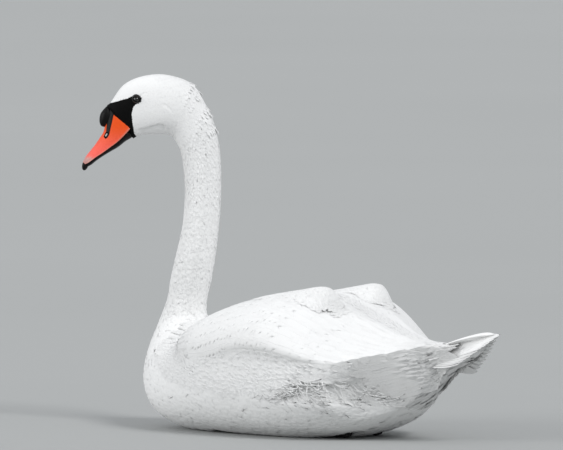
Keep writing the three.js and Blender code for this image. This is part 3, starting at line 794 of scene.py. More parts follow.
def lay_vanes(surface, u, v, length, width, turn=0.0, root=-4.0, tip=0.0, rows=4, columns=3, **shape):
    """Vanes on a surface: s runs 0 to 1 from root to tip and q −1 to 1 across.

    A point goes length·s along the lie of the coat, turned by `turn`, and width/2·q across it; that step, divided
    by the surface's own directions, gives its (u, v). It then stands off by root + (tip − root)·(1 − (1−s)^1.7),
    less a camber toward the edges and a droop of the end, plus a curl of the end and a roll of roll·q that tucks one
    edge under the next feather. Heights are in millimetres, lengths in metres.
    """
    blunt, point = shape.get("blunt", 0.22), shape.get("point", 0.45)
    camber, curl, sweep = shape.get("camber", 0.05), shape.get("curl", 0.0), shape.get("sweep", 0.0)
    roll, droop = shape.get("roll", 0.0), shape.get("droop", 0.0)
    count = len(u)
    s = np.linspace(0, 1, rows)[None, :, None]
    q = np.linspace(-1, 1, columns)[None, None, :]
    wide = lambda value: np.broadcast_to(np.asarray(value, float), (count,))[:, None, None]
    length, width, turn = wide(length), wide(width), wide(turn)
    forward = length * s * (1 - blunt * q**2 * s**3)
    sideways = width / 2 * vane_width(s, point) * q + wide(sweep) * length * s**2
    a = forward * np.cos(turn) - sideways * np.sin(turn)
    b = forward * np.sin(turn) + sideways * np.cos(turn)
    _, along, around, out = surface.at(u, v)
    ahead = unit(along)
    beside = np.cross(ahead, out)
    e, f, g = (np.sum(x * y, -1)[:, None, None] for x, y in ((along, along), (along, around), (around, around)))
    on_along = a * np.sqrt(e)
    on_around = a * np.sum(ahead * around, -1)[:, None, None] + b * np.sum(beside * around, -1)[:, None, None]
    det = e * g - f * f
    at_u = u[:, None, None] + (on_along * g - on_around * f) / det
    at_v = v[:, None, None] + (on_around * e - on_along * f) / det
    points, _, _, normal = surface.at(at_u, at_v)
    height = wide(root) + (wide(tip) - wide(root)) * (1 - (1 - s) ** 1.7)
    height = height - wide(camber) * width / MM * q**2 * s + wide(curl) * np.clip(s - 0.45, 0, 1) ** 2 * length / MM
    height = height + wide(roll) * q * np.sqrt(s) - wide(droop) * np.clip(s - 0.7, 0, 1) / 0.3
    points = points + normal * (height * MM)[..., None]
    points[..., 2] = np.maximum(points[..., 2], 0.0006)
    return points


class Coat:
    """Batches of vanes that become one piece, with the maps and the shade of each."""

    def __init__(self):
        self.vertices, self.quads, self.bake, self.vane, self.tone = [], [], [], [], []
        self.count = 0

    def add(self, points, root_u, root_v, tone, patch=0.003):
        """A batch of equal sheets. Each is a patch on the map, `patch` across, at its root's own (u, v)."""
        count, rows, columns = points.shape[:3]
        s, q = np.meshgrid(np.linspace(0, 1, rows), np.linspace(-1, 1, columns), indexing="ij")
        first = self.count + np.arange(count)[:, None, None] * rows * columns
        self.quads.append((first + grid_faces(rows, columns)[None]).reshape(-1, 4))
        self.vertices.append(points.reshape(-1, 3))
        centre = np.stack([0.01 + 0.98 * np.clip(root_u, 0, 1), 0.01 + 0.98 * (root_v % 1.0)], -1)
        spread = np.stack([s - 0.5, q / 2], -1).reshape(1, -1, 2) * patch
        self.bake.append((centre[:, None] + spread).reshape(-1, 2))
        local = np.stack([q / 2 + 0.5, s], -1).reshape(1, -1, 2)
        self.vane.append(np.broadcast_to(local, (count, rows * columns, 2)).reshape(-1, 2))
        # Tone grows by 0.25·(1 − s)² toward each root, where the feathers above cover it: painted shade between the
        # feathers.
        shade = np.broadcast_to(np.asarray(tone, float), (count,))[:, None] + 0.25 * (1 - s.reshape(1, -1)) ** 2
        self.tone.append(shade.reshape(-1))
        self.count += count * rows * columns
        return self

    def piece(self, name, finish, slot="plumage", nodes=()):
        vertices = np.concatenate(self.vertices)
        made = new_piece(name, vertices, np.concatenate(self.quads), None, finish)
        add_map(made, "OFBake", np.concatenate(self.bake))
        add_map(made, "vane", np.concatenate(self.vane))
        mark(made, "tone", np.concatenate(self.tone))
        belongs(made, slot, *nodes)
        return made


# %% [markdown]
# ## The coat of the head and neck
#
# On the face a feather is three millimetres of velvet, on the crown seven or eight, and down the neck they grow to a
# centimetre and a half and stand apart a little, which gives the neck its mottled look. At the back of the head the
# tips stick out in ragged steps: there a row of longer feathers ends all at once, and the next row starts from under
# it.


# %% Feathers of the head
def sizes_along(table):
    """A function of u that reads a size, in metres, from (place, millimetres) pairs."""
    places, values = zip(*table)
    return lambda u: np.interp(np.asarray(u) * LAST, places, values) * MM


NAPE_STEPS = (4.02, 4.45, 5.08, 5.32, 6.02)
STATION_LENGTH = 42.0  # millimetres from one station to the next behind the head


def ragged_nape(u, v, length):
    """1 for a feather whose tip ends at one of the steps behind the head, fading to 0 further up each step."""
    tip = u * LAST + length / MM / STATION_LENGTH
    gap = np.min([np.where(tip <= step + 0.03, step + 0.03 - tip, 9.0) for step in NAPE_STEPS], axis=0)
    return np.exp(-((gap / 0.13) ** 2)) * np.cos(2 * np.pi * v).clip(0, 1) ** 1.5


rng = np.random.default_rng(7)
head_coat = Coat()
head_gap = sizes_along([(0, 1.3), (1.5, 1.7), (3, 2.2), (5.3, 2.7)])
u, v, gap = stagger(body, (0.0008, 5.3 / LAST), (0, 1), head_gap, head_gap, seed=1)
clear = face_distance(body.at(u, v)[0] / MM, u * LAST)
u, v, gap, clear = (x[clear > 0.1] for x in (u, v, gap, clear))
length = head_gap(u) * 3.6 * (0.62 + 0.38 * smooth(clear, 0.5, 6.0)) * rng.uniform(0.85, 1.2, len(u))
length = np.where(clear < FAR, np.minimum(length, (2.2 + clear * 1.2) * MM + 0.001), length)
ragged = ragged_nape(u, v, length) * (rng.random(len(u)) < 0.8)
head_coat.add(
    lay_vanes(
        body, u, v, length * (1 + 0.35 * ragged), gap * 1.8, turn=rng.normal(0, 0.14, len(u)),
        root=-coat_depth(u * LAST) * 0.55, tip=rng.uniform(-0.12, 0.10, len(u)) + 3.0 * ragged, rows=4, columns=3,
        curl=0.05 * ragged + rng.uniform(0, 0.02, len(u)), camber=0.06, droop=0.30,
    ),
    u, v, rng.uniform(0, 0.35, len(u)),
)
head_coat.piece("coat_head", down)

# %% Feathers of the neck
neck_coat = Coat()
neck_gap = sizes_along([(5.3, 2.7), (7, 3.2), (9, 3.5), (12.6, 4.2)])
u, v, gap = stagger(body, (5.3 / LAST, 12.6 / LAST), (0, 1), neck_gap, neck_gap, seed=2)
length = neck_gap(u) * 3.5 * rng.uniform(0.8, 1.2, len(u))
ragged = ragged_nape(u, v, length) * (rng.random(len(u)) < 0.8)
loose = (rng.random(len(u)) < 0.10) * rng.uniform(0.3, 1.0, len(u))
neck_coat.add(
    lay_vanes(
        body, u, v, length * (1 + 0.35 * ragged), gap * 1.7, turn=rng.normal(0, 0.17, len(u)),
        root=-coat_depth(u * LAST) * 0.6, tip=rng.uniform(-0.25, 0.12, len(u)) + 3.0 * ragged + 0.5 * loose, rows=4,
        columns=3, curl=0.05 * ragged + 0.05 * loose, camber=0.08, blunt=0.3, point=0.55, droop=0.5,
    ),
    u, v, rng.uniform(0, 0.6, len(u)),
)
neck_coat.piece("coat_neck", down)

# %% [markdown]
# ## The coat of the breast, flanks and belly
#
# Here the feathers broaden to a centimetre and lie close, so that the breast looks smooth. Only under the tail do a
# few tips stand off.


# %% Feathers of the breast, then of the flanks, belly and back
def close_coat(name, sizes, ends, under_wing, length, longest, turn, root, tips, seed):
    """Close-lying feathers between two stations, apart from those under a wing; length is in gaps between rows."""
    size = sizes_along(sizes)
    u, v, gap = stagger(body, (ends[0] / LAST, ends[1] / LAST), (0, 1), size, size, seed=seed)
    open_air = ~under_wing(*body.at(u, v)[0].T)
    u, v, gap = (k[open_air] for k in (u, v, gap))
    many = len(u)
    points = lay_vanes(
        body, u, v, size(u) * length * rng.uniform(0.85, longest, many), gap * 1.7, turn=rng.normal(0, turn, many),
        root=root, tip=rng.uniform(*tips, many), rows=5, columns=4, curl=rng.uniform(0.0, 0.01, many), camber=0.03,
        droop=0.75,
    )
    Coat().add(points, u, v, rng.uniform(0, 0.35, many)).piece(name, down)


close_coat(
    "coat_breast", [(12.6, 4.2), (14, 5.2), (16, 6.2), (18, 7.0)], (12.6, 17.6),
    lambda x, y, z: (z > 0.17) & (x > -0.17), length=3.6, longest=1.2, turn=0.11, root=-2.6, tips=(-0.16, 0.12),
    seed=3,
)
close_coat(
    "coat_trunk", [(17.6, 7.0), (19, 7.8), (22, 8.3), (23.4, 8.8)], (17.6, 23.2), lambda x, y, z: z > 0.158,
    length=3.7, longest=1.25, turn=0.14, root=-2.8, tips=(-0.18, 0.15), seed=4,
)

# %% Feathers of the stern, long and close
stern_coat = Coat()
stern_gap = sizes_along([(23, 8.2), (24.5, 8.0), (26, 6.4), (27, 5.0)])
u, v, gap = stagger(body, (23.2 / LAST, 26.7 / LAST), (0, 1), stern_gap, stern_gap, seed=5)
loose = (rng.random(len(u)) < 0.12) * smooth(v % 1.0, 0.3, 0.4) * (1 - smooth(v % 1.0, 0.6, 0.7))
rows_long = lerp(5.6, 3.6, smooth(u * LAST, 25.6, 26.7))
stern_coat.add(
    lay_vanes(
        body, u, v, stern_gap(u) * rows_long * rng.uniform(0.85, 1.2, len(u)), gap * 1.8,
        turn=rng.normal(0, 0.09, len(u)), root=-3.0, tip=rng.uniform(-0.2, 0.15, len(u)) + 1.4 * loose,
        rows=6, columns=4, curl=0.06 * loose, camber=0.03, droop=0.6,
    ),
    # A tone of 0.6 to 1.1 greys the whole stern: painted shade, as the stern lies in shadow under the wings and tail.
    u, v, rng.uniform(0.6, 1.1, len(u)),
)
stern_coat.piece("coat_stern", vaned)

# %% [markdown]
# ## The folded wings
#
# A folded wing is a shell over the back: short feathers at the shoulder and the wrist, then rows of coverts that
# grow longer, and at last the flight feathers, whose ends come together in the wing's tip. The shell's section runs
# from its lower edge out to its widest line, over the ridge and in to the middle, where the two wings meet.

# %% Stations of a wing, in millimetres: x, lower edge z, widest y, z, ridge y, z, meeting height, roundness
WING = [
    (-181, 113, 100, 127, 62, 152, 145, 2),
    (-158, 106, 123, 129, 56, 168, 160, 2),
    (-120, 104, 143, 131, 53, 186, 179, 2),
    (-60, 112, 158, 138, 51, 205, 197, 2),
    (10, 134, 164, 146, 50, 218, 210, 2),
    (70, 134, 163, 145, 50, 219, 211, 1.8),
    (130, 121, 147, 132, 44, 198, 192, 1.3),
    (175, 112, 121, 121, 32, 181, 175, 1.1),
    (220, 112, 89, 118, 20, 164, 160, 1.1),
    (262, 130, 58, 135, 11, 155, 152, 1.15),
    (300, 147, 20, 149, 6, 152, 150, 1.4),
]
WING_LAST, WING_LENGTH = len(WING) - 1, WING[-1][0] - WING[0][0]


def wing_grid(rows=420, columns=140):
    """The right wing's outer surface: a quarter sine out to the widest line, a superellipse up, a sine inward."""
    place = np.linspace(0, WING_LAST, rows)[:, None]
    x, low, wide_y, wide_z, top_y, top_z, mid, n = (c for c in np.moveaxis(spline(WING, place), -1, 0))
    down_to = np.linspace(1, 0, 13)[None, :-1]
    rise = np.linspace(0, np.pi / 2, 72)[None]
    inward = np.linspace(0, 1, 25)[None, 1:]
    y = np.concatenate(
        [
            lerp(wide_y, top_y, 0.1 * down_to**2),
            lerp(top_y, wide_y, np.cos(rise).clip(0) ** (2 / n)),
            lerp(top_y, 0.8, np.sin(inward * np.pi / 2)),
        ],
        axis=1,
    )
    z = np.concatenate(
        [
            lerp(wide_z, low, np.sin(down_to * np.pi / 2)),
            lerp(wide_z, top_z, np.sin(rise).clip(0) ** (2 / n)),
            lerp(mid, top_z, np.cos(inward * np.pi / 2)),
        ],
        axis=1,
    )
    points = evenly(np.stack([np.broadcast_to(x, y.shape), y, z], axis=-1), columns, closed=False)
    return Surface(points * MM, closed=False)


wing = wing_grid()
print("the right wing faces", wing.at(np.array([0.4]), np.array([0.5]))[3].round(2), "at its middle")


def mirrored(points):
    """The same sheets on the other side, with their columns turned round so that they still face out."""
    return points[..., ::-1, :] * (1.0, -1.0, 1.0)


# %% The wing's heart, under its feathers
def heart_of(outline, middle, inset, depth):
    """A closed form under an outline: the outline sunk by inset, and a copy drawn toward the middle by depth."""
    sunk = outline.points - outline.out * inset * MM
    inner = lerp(sunk, middle, depth)
    inner[..., 1] = np.maximum(inner[..., 1], 0.0006)
    sunk[..., 1] = np.maximum(sunk[..., 1], 0.0006)
    return closed_grid(np.concatenate([sunk, inner[:, ::-1]], axis=1))


thin = Surface(wing.points[::8, ::5], closed=False)
wing_middle = np.stack(
    [thin.points[..., 0], thin.points[..., 1] * 0.0, thin.points[:, :1, 2] + 0.01 + thin.points[..., 2] * 0], axis=-1
)
wing_form = heart_of(thin, wing_middle, inset=6.0, depth=0.35)
for side in SIDES:
    heart = on_side(side, "wing_heart", wing_form, skin_finish)
    mark(heart, "bare", np.zeros(len(wing_form[0])))
    belongs(heart, "plumage", f"wing_arm_{side}", f"wing_secondaries_{side}", f"wing_primaries_{side}")

# %% [markdown]
# ## Coverts and flight feathers
#
# The rows of a wing differ most in length. The marginal coverts at the wrist are short and lie in curved stacks, the
# greater coverts reach two thirds of the way back, and the tertials and secondaries run on to the tip. All are the
# same sheet with other numbers, so a table of bands says where each kind is rooted and how large it is. Each feather
# is rolled a little about its shaft: its lower edge lies on the next one down, and its upper edge is tucked in.

# %% Bands of wing feathers: from u, to u, gap along, gap across, length, width, turn, rows, columns, blunt, roll
WING_BANDS = {
    "marginal": (0.0, 0.17, 5.5, 11.0, 26, 19, -0.16, 6, 6, 0.34, 0.3),
    "lesser": (0.17, 0.34, 8.0, 19.0, 42, 31, -0.12, 7, 8, 0.34, 0.5),
    "median": (0.34, 0.46, 9.0, 20.0, 54, 33, -0.06, 8, 8, 0.30, 0.7),
    "greater": (0.46, 0.55, 11.0, 18.0, 80, 30, 0.0, 10, 7, 0.20, 0.9),
    "tertial": (0.55, 0.67, 17.0, 14.0, 118, 27, 0.02, 14, 7, 0.14, 1.1),
    "secondary": (0.67, 0.80, 17.0, 11.0, 92, 22, 0.04, 11, 7, 0.12, 1.0),
    "primary": (0.80, 0.91, 14.0, 8.0, 58, 15, 0.03, 9, 6, 0.12, 0.6),
}


def stacks(u, v):
    """Soft patches of 0 to 1 over the wing, where feather ends stand off and show as stacked arcs."""
    wave = np.sin(27.0 * u + 3.0 * v + 0.6) * np.sin(9.5 * v - 8.0 * u + 2.2) + 0.5 * np.sin(41.0 * u - 11.0 * v)
    return smooth(wave, 0.1, 1.0)


def wing_coat(seed):
    """One wing's feathers, band after band, as batches of sheets with their roots and shades."""
    rng = np.random.default_rng(seed)
    batches = []
    for k, (name, numbers) in enumerate(WING_BANDS.items()):
        u0, u1, gap_along, gap_across, length, width, turn, rows, columns, blunt, roll = numbers
        u, v, gap = stagger(
            wing, (u0, u1), (0.0, 0.985), lambda u: u * 0 + gap_along * MM, lambda u: u * 0 + gap_across * MM,
            seed=seed + k, jitter=0.10,
        )
        lower = 1 - smooth(v, 0.05, 0.5)
        tip_u = u + length * 0.6 / WING_LENGTH
        points = lay_vanes(
            wing, u, v, length * MM * rng.uniform(0.93, 1.08, len(u)), width * MM * gap / (gap_across * MM),
            turn=turn * lower + rng.normal(0, 0.03, len(u)), root=-1.4,
            tip=rng.uniform(-0.03, 0.03, len(u)) + 0.20 * stacks(tip_u, v), rows=rows, columns=columns,
            camber=0.008, blunt=blunt, point=0.45, roll=-0.18 * roll, droop=0.55,
        )
        batches.append((points, u, v, rng.uniform(0.0, 0.3, len(u))))
        print(name, len(u), "feathers")
    return batches


for side, seed in (("left", 20), ("right", 40)):
    coat = Coat()
    for points, u, v, tone in wing_coat(seed):
        coat.add(mirrored(points) if side == "left" else points, u, v, tone)
    coat.piece(f"coat_wing_{side}", vaned)

# %% [markdown]
# ## The tail
#
# Twenty-two feathers lie like a roof, the middle pair on top and longest, fanned on the right and nearly closed on
# the left. Each is one long sheet on the roof's surface, with a shaft, and lifts a little on its own.

# %% Tail feathers
TAIL_ROOT, TAIL_LENGTH, TAIL_RISE = (262.0, 137.0), 160.0, np.radians(13.5)
TAIL_FEATHERS, TAIL_ROOT_HALF, TAIL_SPREAD = 11, 25.0, np.radians(19.0)
TAIL_DROOP, TAIL_TAPER, TAIL_CLOSED = (13.0, 40.0), 0.56, 0.62


def tail_reach(across):
    return TAIL_LENGTH * (1 - TAIL_TAPER * np.abs(across) ** 0.85)


def tail_point(along, across, reach):
    """Millimetres: out = reach·along, fanned by the spread.

    The fall grows as |across|^1.2 on the right, and sooner, as |across|^0.7, on the left, where the tail is closed.
    """
    out = reach * along
    fall = lerp(*TAIL_DROOP, along) * np.abs(across) ** np.where(across < 0, 0.7, 1.2)
    return np.stack(
        [
            TAIL_ROOT[0] + out * np.cos(TAIL_SPREAD * across),
            TAIL_ROOT_HALF * across + out * np.sin(TAIL_SPREAD * across),
            TAIL_ROOT[1] + out * np.tan(TAIL_RISE) - fall,
        ],
        axis=-1,
    )


def tail_feathers(rows=26, columns=9):
    """Each feather follows its own line of the roof; its vane spreads along the roof's slope beside that line."""
    rng = np.random.default_rng(77)
    order = np.repeat(np.arange(TAIL_FEATHERS), 2)
    side = np.tile([-1.0, 1.0], TAIL_FEATHERS)
    across = ((order + 0.5) / TAIL_FEATHERS * np.where(side < 0, -TAIL_CLOSED, 1.0))[:, None, None]
    s = np.linspace(-0.06, 1, rows)[None, :, None]
    q = np.linspace(-1, 1, columns)[None, None, :]
    reach = tail_reach(across) * rng.uniform(0.985, 1.0, across.shape)
    width = 13.5 * vane_width(s.clip(0), 0.62) * (1 - 0.15 * q * side[:, None, None])
    along = s * (1 - 0.10 * q**2 * s.clip(0) ** 4)
    line = tail_point(along + 0 * q, across + 0 * along, reach)
    slope = tail_point(along + 0 * q, across + 0.02 + 0 * along, reach) - line
    slope[..., 0] = 0
    beside = unit(slope)
    upward = np.cross(beside, [-1.0, 0.0, 0.25])
    upward = unit(np.where(upward[..., 2:] < 0, -upward, upward))
    lift = -0.9 * order[:, None, None] - 0.7 * q**2 + rng.normal(0, 0.3, across.shape) * s
    points = line + beside * (width * q)[..., None] + upward * lift[..., None]
    return points * MM, order


tail_points, tail_order = tail_feathers()
tail = Coat()
for k, sheet in enumerate(tail_points):
    place_round = (k + 0.5) / (len(tail_points) + 0.5)
    tail.add(sheet[None, :, ::-1], np.array([0.5]), np.array([place_round]), 0.05 + 0.02 * tail_order[k], 0.04)
tail.piece("tail_feathers", vaned, nodes=["tail"])

# %% [markdown]
# ## The shoulder feathers' heart
#
# The scapulars lie along the back over both wings, and their hind ends stand up in a rounded tuft. Under them is a
# plain leaf-shaped form.

# %% The scapular leaf
SCAPULARS = [
    (-70, 66, 198, 9, 6), (-30, 65, 209, 22, 8), (20, 62, 217, 28, 10), (60, 59, 221.5, 28, 14),
    (90, 57, 225, 24, 17), (108, 56, 224, 17, 15), (117, 56, 221, 7, 8),
]
SCAPULAR_ARCH = 9.0


def scapular_grid(turn_from, turn_to, shrink=0.0, ends=1.0, rows=160, columns=60):
    """The leaf's skin: y + half·cos, z + thick/2·sin − arch·cos², along its middle line."""
    x, y, z, half, thick = (c[:, None] for c in spline(SCAPULARS, np.linspace(0, len(SCAPULARS) - ends, rows)).T)
    a = np.linspace(turn_from, turn_to, columns)[None]
    wide, deep = np.maximum(half - shrink, 1), np.maximum(thick / 2 - shrink, 0.5)
    points = [x + 0 * a, y + wide * np.cos(a), z + deep * np.sin(a) - SCAPULAR_ARCH * np.cos(a) ** 2]
    return Surface(np.stack(points, -1) * MM, closed=False)


leaf = scapular_grid(0.0, np.pi)
leaf_form = closed_grid(
    scapular_grid(0.0, 2 * np.pi * 23 / 24, shrink=4.0, ends=2.2, rows=30, columns=24).points
)
for side in SIDES:
    core = on_side(side, "scapular_heart", leaf_form, skin_finish)
    mark(core, "bare", np.zeros(len(leaf_form[0])))
    belongs(core, "plumage", f"scapulars_{side}")

# %% [markdown]
# ## The bird's outside as height maps
#
# Where flank feathers close over the wing's lower edge, and shoulder feathers over its ridge, no single form is the
# outside of the bird. Laying them on the wing would leave a step, and on the body a crack. So the outermost point of
# every form is found over a plane, gaps are bridged, and the result is a surface like the others: one map looks at
# the right side and one at the top.


# %% A height map of several forms
def slid(grid, reach, combine):
    """Every shift of the grid by up to reach cells, combined along one axis and then along the other."""
    for axis in (0, 1):
        padded = np.pad(grid, [(reach, reach) if k == axis else (0, 0) for k in (0, 1)], mode="edge")
        shifts = [np.take(padded, np.arange(grid.shape[axis]) + k, axis) for k in range(2 * reach + 1)]
        grid = combine(np.stack(shifts))
    return grid


def height_map(forms, axes, ends_a, ends_b, cell=3.0, close=4, soften=2, settle=None):
    """The outermost of some forms over a plane, as a surface.

    Each cell keeps the furthest point that falls in it. A running maximum and then a running minimum bridge gaps
    narrower than 2·close cells, and a Gaussian mean rounds what is left. axes are those along, across and out.
    settle may change the heights at the end.
    """
    a, b, out = axes
    points = np.concatenate([form.reshape(-1, 3) for form in forms])
    along, across = np.arange(*ends_a, cell), np.arange(*ends_b, cell)
    i = np.rint((points[:, a] - along[0]) / cell).astype(int)
    j = np.rint((points[:, b] - across[0]) / cell).astype(int)
    inside = (i >= 0) & (i < len(along)) & (j >= 0) & (j < len(across))
    tall = np.full((len(along), len(across)), -1e3)
    np.maximum.at(tall, (i[inside], j[inside]), points[inside, out])
    for row in tall:
        known = row > -1e2
        row[:] = np.interp(across, across[known], row[known])
    tall = slid(slid(tall, close, lambda x: x.max(0)), close, lambda x: x.min(0))
    weights = np.exp(-0.5 * (np.arange(-2 * soften, 2 * soften + 1) / soften) ** 2)
    tall = slid(tall, 2 * soften, lambda x: np.tensordot(weights / weights.sum(), x, 1))
    if settle is not None:
        tall = settle(along[:, None], across[None], tall)
    grid = np.zeros((*tall.shape, 3))
    grid[..., a], grid[..., b], grid[..., out] = along[:, None], across[None], tall
    made = Surface(grid * MM, closed=False)
    return made if made.out[..., out].mean() > 0 else Surface(grid[:, ::-1] * MM, closed=False)


tail_across = np.linspace(0, 1, 80)[None]
tail_roof = tail_point(np.linspace(0, 1, 120)[:, None] + 0 * tail_across, tail_across, tail_reach(tail_across))
right_half = plain_body.points[plain_body.points[..., 1] > 0] / MM
SIDE_X, SIDE_Z, TOP_X, TOP_Y = (-238.0, 385.0), (6.0, 200.0), (-180.0, 405.0), (0.0, 130.0)


def lean_in(x, z, y):
    """The stern's shell stands where the leaning side is, from the pocket's edge down."""
    leaning = np.maximum(stern_side(x, z), STERN_ROUND * y)
    return lerp(y, leaning, smooth(x, 155, 205) * (1 - smooth(z - pocket_edge(x), 2, 14)))


bird_side = height_map(
    [right_half, wing.points / MM, tail_roof], (0, 2, 1), SIDE_X, SIDE_Z, close=6, settle=lean_in
)
back = right_half[right_half[:, 2] > 110]
bird_top = height_map([back, wing.points / MM, leaf.points / MM, tail_roof], (0, 1, 2), TOP_X, TOP_Y, close=4)
print("side map", bird_side.points.shape, "top map", bird_top.points.shape)

# %% [markdown]
# ## Flank feathers over the wing's edge
#
# Long soft feathers of the flank and of the breast's side hold the folded wing as in a pocket. At the front they
# point back, and toward the tail they sweep up.


# %% The same batch on both sides
def laid_on_sides(name, surface, u, v, seed, shade=0.0, **sizes):
    """The same roots on both sides, as one coat piece each. A size may be a function of the side's random numbers."""
    for k, side in enumerate(SIDES):
        rng = np.random.default_rng(seed + k)
        # shade is painted shade, added to the feathers' own random tone.
        tone = rng.uniform(0, 0.3, len(u)) + shade
        points = lay_vanes(surface, u, v, **{k: f(rng) if callable(f) else f for k, f in sizes.items()})
        coat = Coat().add(mirrored(points) if side == "left" else points, u, v, tone)
        coat.piece(f"{name}_{side}", vaned)


def even_sizes(millimetres):
    return lambda u: u * 0 + millimetres * MM


# %% The flank's cover
FLANK_LOWEST = [-238, -190, -60, 70, 95, 200, 225, 300, 330], [120, 84, 66, 72, 100, 100, 62, 88, 110]
HOLLOW_ROOF = [60, 95, 200, 225], [66, 100, 100, 62]
FLANK_SLANT = [-238, -120, 60, 150, 225, 330], [-0.10, -0.02, -0.12, -0.20, 0.38, 0.45]
u, v, _ = stagger(bird_side, (0.0, 0.92), (0.0, 1.0), even_sizes(6.5), even_sizes(7.0), seed=80, jitter=0.2)
x, y, z = (bird_side.at(u, v)[0] / MM).T
gap_below = z - pocket_edge(x)
front, rear = 1 - smooth(x, -190, -120), smooth(x, 110, 235)
ends_at = 368 + gap_below
kept = (z > np.interp(x, *FLANK_LOWEST)) & (gap_below < lerp(-7.0, -9.0, rear)) & (x < ends_at - 22)
u, v, x, z, front, rear, gap_below, ends_at = (k[kept] for k in (u, v, x, z, front, rear, gap_below, ends_at))
near_edge = smooth(gap_below, -34, -8)
over_hollow = (1 - smooth(z - np.interp(x, *HOLLOW_ROOF), 0, 18)) * smooth(x, 45, 70)
over_hollow *= 1 - smooth(x, 205, 240)
slope = np.arctan((pocket_edge(x + 12) - pocket_edge(x)) / 12)
lie = lerp(np.interp(x, *FLANK_SLANT), slope + 0.22 * (1 - rear) + 0.05, near_edge)
most = lerp(44 - 10 * front, 78, rear)
# shade greys the flank's feathers from x = 150 to 235 mm, toward the stern: painted shade, as the stern lies in
# shadow.
laid_on_sides(
    "coat_flank", bird_side, u, v, 81,
    length=lambda rng: np.minimum(most * rng.uniform(0.85, 1.15, len(u)), ends_at - x) * MM,
    width=lerp(12 - 2 * front, 14, rear) * MM, turn=lambda rng: lie + rng.normal(0, lerp(0.06, 0.04, rear)),
    root=lerp(-0.9, -0.6, front), rows=6, columns=4, camber=0.008,
    tip=lambda rng: 0.25 * front - 0.05 - 0.5 * near_edge - 2.4 * over_hollow + rng.uniform(-0.03, 0.03, len(u)),
    blunt=0.3, point=0.7, droop=0.20, shade=0.9 * smooth(x, 150, 235),
)


# %% Shoulder feathers over the wing's ridge
def roots_on_top(u_ends, v_ends, gap_along, gap_across, keep, **order):
    """Staggered roots on the top map where keep(x, y) holds: u, v and x in millimetres."""
    u, v, _ = stagger(bird_top, u_ends, v_ends, even_sizes(gap_along), even_sizes(gap_across), **order)
    x, y, _ = (bird_top.at(u, v)[0] / MM).T
    kept = keep(x, y)
    return u[kept], v[kept], x[kept]


def on_leaf(x, y):
    """Within 5 mm of the scapular leaf, and before the tuft's steep end."""
    leaf_x, leaf_y, _, leaf_half, _ = np.transpose(SCAPULARS)
    return (np.abs(y - np.interp(x, leaf_x, leaf_y)) - np.interp(x, leaf_x, leaf_half) < 5) & (x < 128)


u, v, x = roots_on_top((0.1, 0.53), (0.0, 1.0), 7.0, 7.5, on_leaf, seed=90, jitter=0.12)
laid_on_sides(
    "coat_scapulars", bird_top, u, v, 91,
    length=lambda rng: lerp(46, 16, smooth(x, 55, 112)) * MM * rng.uniform(0.92, 1.08, len(u)), width=17 * MM,
    turn=lambda rng: rng.normal(0, 0.07, len(u)), root=-2.4, tip=lambda rng: 0.6 + rng.uniform(-0.1, 0.12, len(u)),
    rows=7, columns=5, camber=0.03, blunt=0.3, point=0.5, droop=0.9,
)

# %% [markdown]
# ## Feathers that close the gaps
#
# Three places would still show a hollow from behind or above: under the roof of the tail, along the back between the
# wings, and where the tail's quills come out. Each gets its own small coat. The one under the tail grows on an egg
# that hangs from the roof, and the other two on the map of the bird's top.

# %% Coverts under the tail
UNDER_REACH, UNDER_DEEP, UNDER_LEFT, UNDER_RIGHT = 0.86, 30.0, 0.50, 0.88


def under_edge(side):
    """How far across the tail the egg's rim lies, for a side of -1 to 1."""
    return side * np.where(side < 0, UNDER_LEFT, UNDER_RIGHT)


def under_tail(rows=40, columns=60):
    """An egg hung under the tail's roof.

    Its rim follows the roof a little inside the feathers' ends, its upper half stays 2 mm below them, and its lower
    half sinks by UNDER_DEEP, less towards the far end.
    """
    a = np.linspace(0, 0.97, rows)[:, None]
    angle = round_ring(columns)
    below = np.cos(angle)
    across = under_edge(np.sin(angle)) * np.sqrt(1 - a**2.5)
    points = tail_point(UNDER_REACH * a, across, tail_reach(across))
    points[..., 2] -= 4 + np.where(below > 0, UNDER_DEEP * (1 - a**2) ** 0.6, 2.0) * below
    return Surface(points * MM, closed=True)


egg_below = under_tail()
rng = np.random.default_rng(97)
u, v, _ = stagger(egg_below, (0.0, 0.90), (0.0, 1.0), even_sizes(7.0), even_sizes(6.5), seed=98, jitter=0.14)
room = (1.04 - u) * UNDER_REACH * tail_reach(under_edge(np.sin(2 * np.pi * v)))
points = lay_vanes(
    egg_below, u, v, length=np.clip(room, 10, 38) * MM * rng.uniform(0.88, 1.08, len(u)), width=16 * MM,
    turn=rng.normal(0, 0.08, len(u)), root=-2.0, tip=rng.uniform(0.1, 0.9, len(u)),
    rows=7, columns=5, camber=0.03, blunt=0.35, point=0.6, droop=0.4,
)
Coat().add(points, u, v, rng.uniform(0, 0.2, len(u))).piece("coat_under_tail", vaned)

# %% The mantle, between the wings
MANTLE_HALF = [-180, -140, -60, 252], [24, 20, 12, 12]
u, v, _ = roots_on_top(
    (0.0, 0.74), (0.8, 1.0), 8.0, 6.5, lambda x, y: y < np.interp(x, *MANTLE_HALF), seed=93, jitter=0.14
)
laid_on_sides(
    "coat_mantle", bird_top, u, v, 94,
    length=lambda rng: 36 * MM * rng.uniform(0.88, 1.12, len(u)), width=15 * MM,
    turn=lambda rng: rng.normal(0, 0.08, len(u)), root=-2.2, tip=lambda rng: rng.uniform(-0.05, 0.15, len(u)),
    rows=6, columns=5, camber=0.02, blunt=0.3, point=0.6, droop=0.5,
)

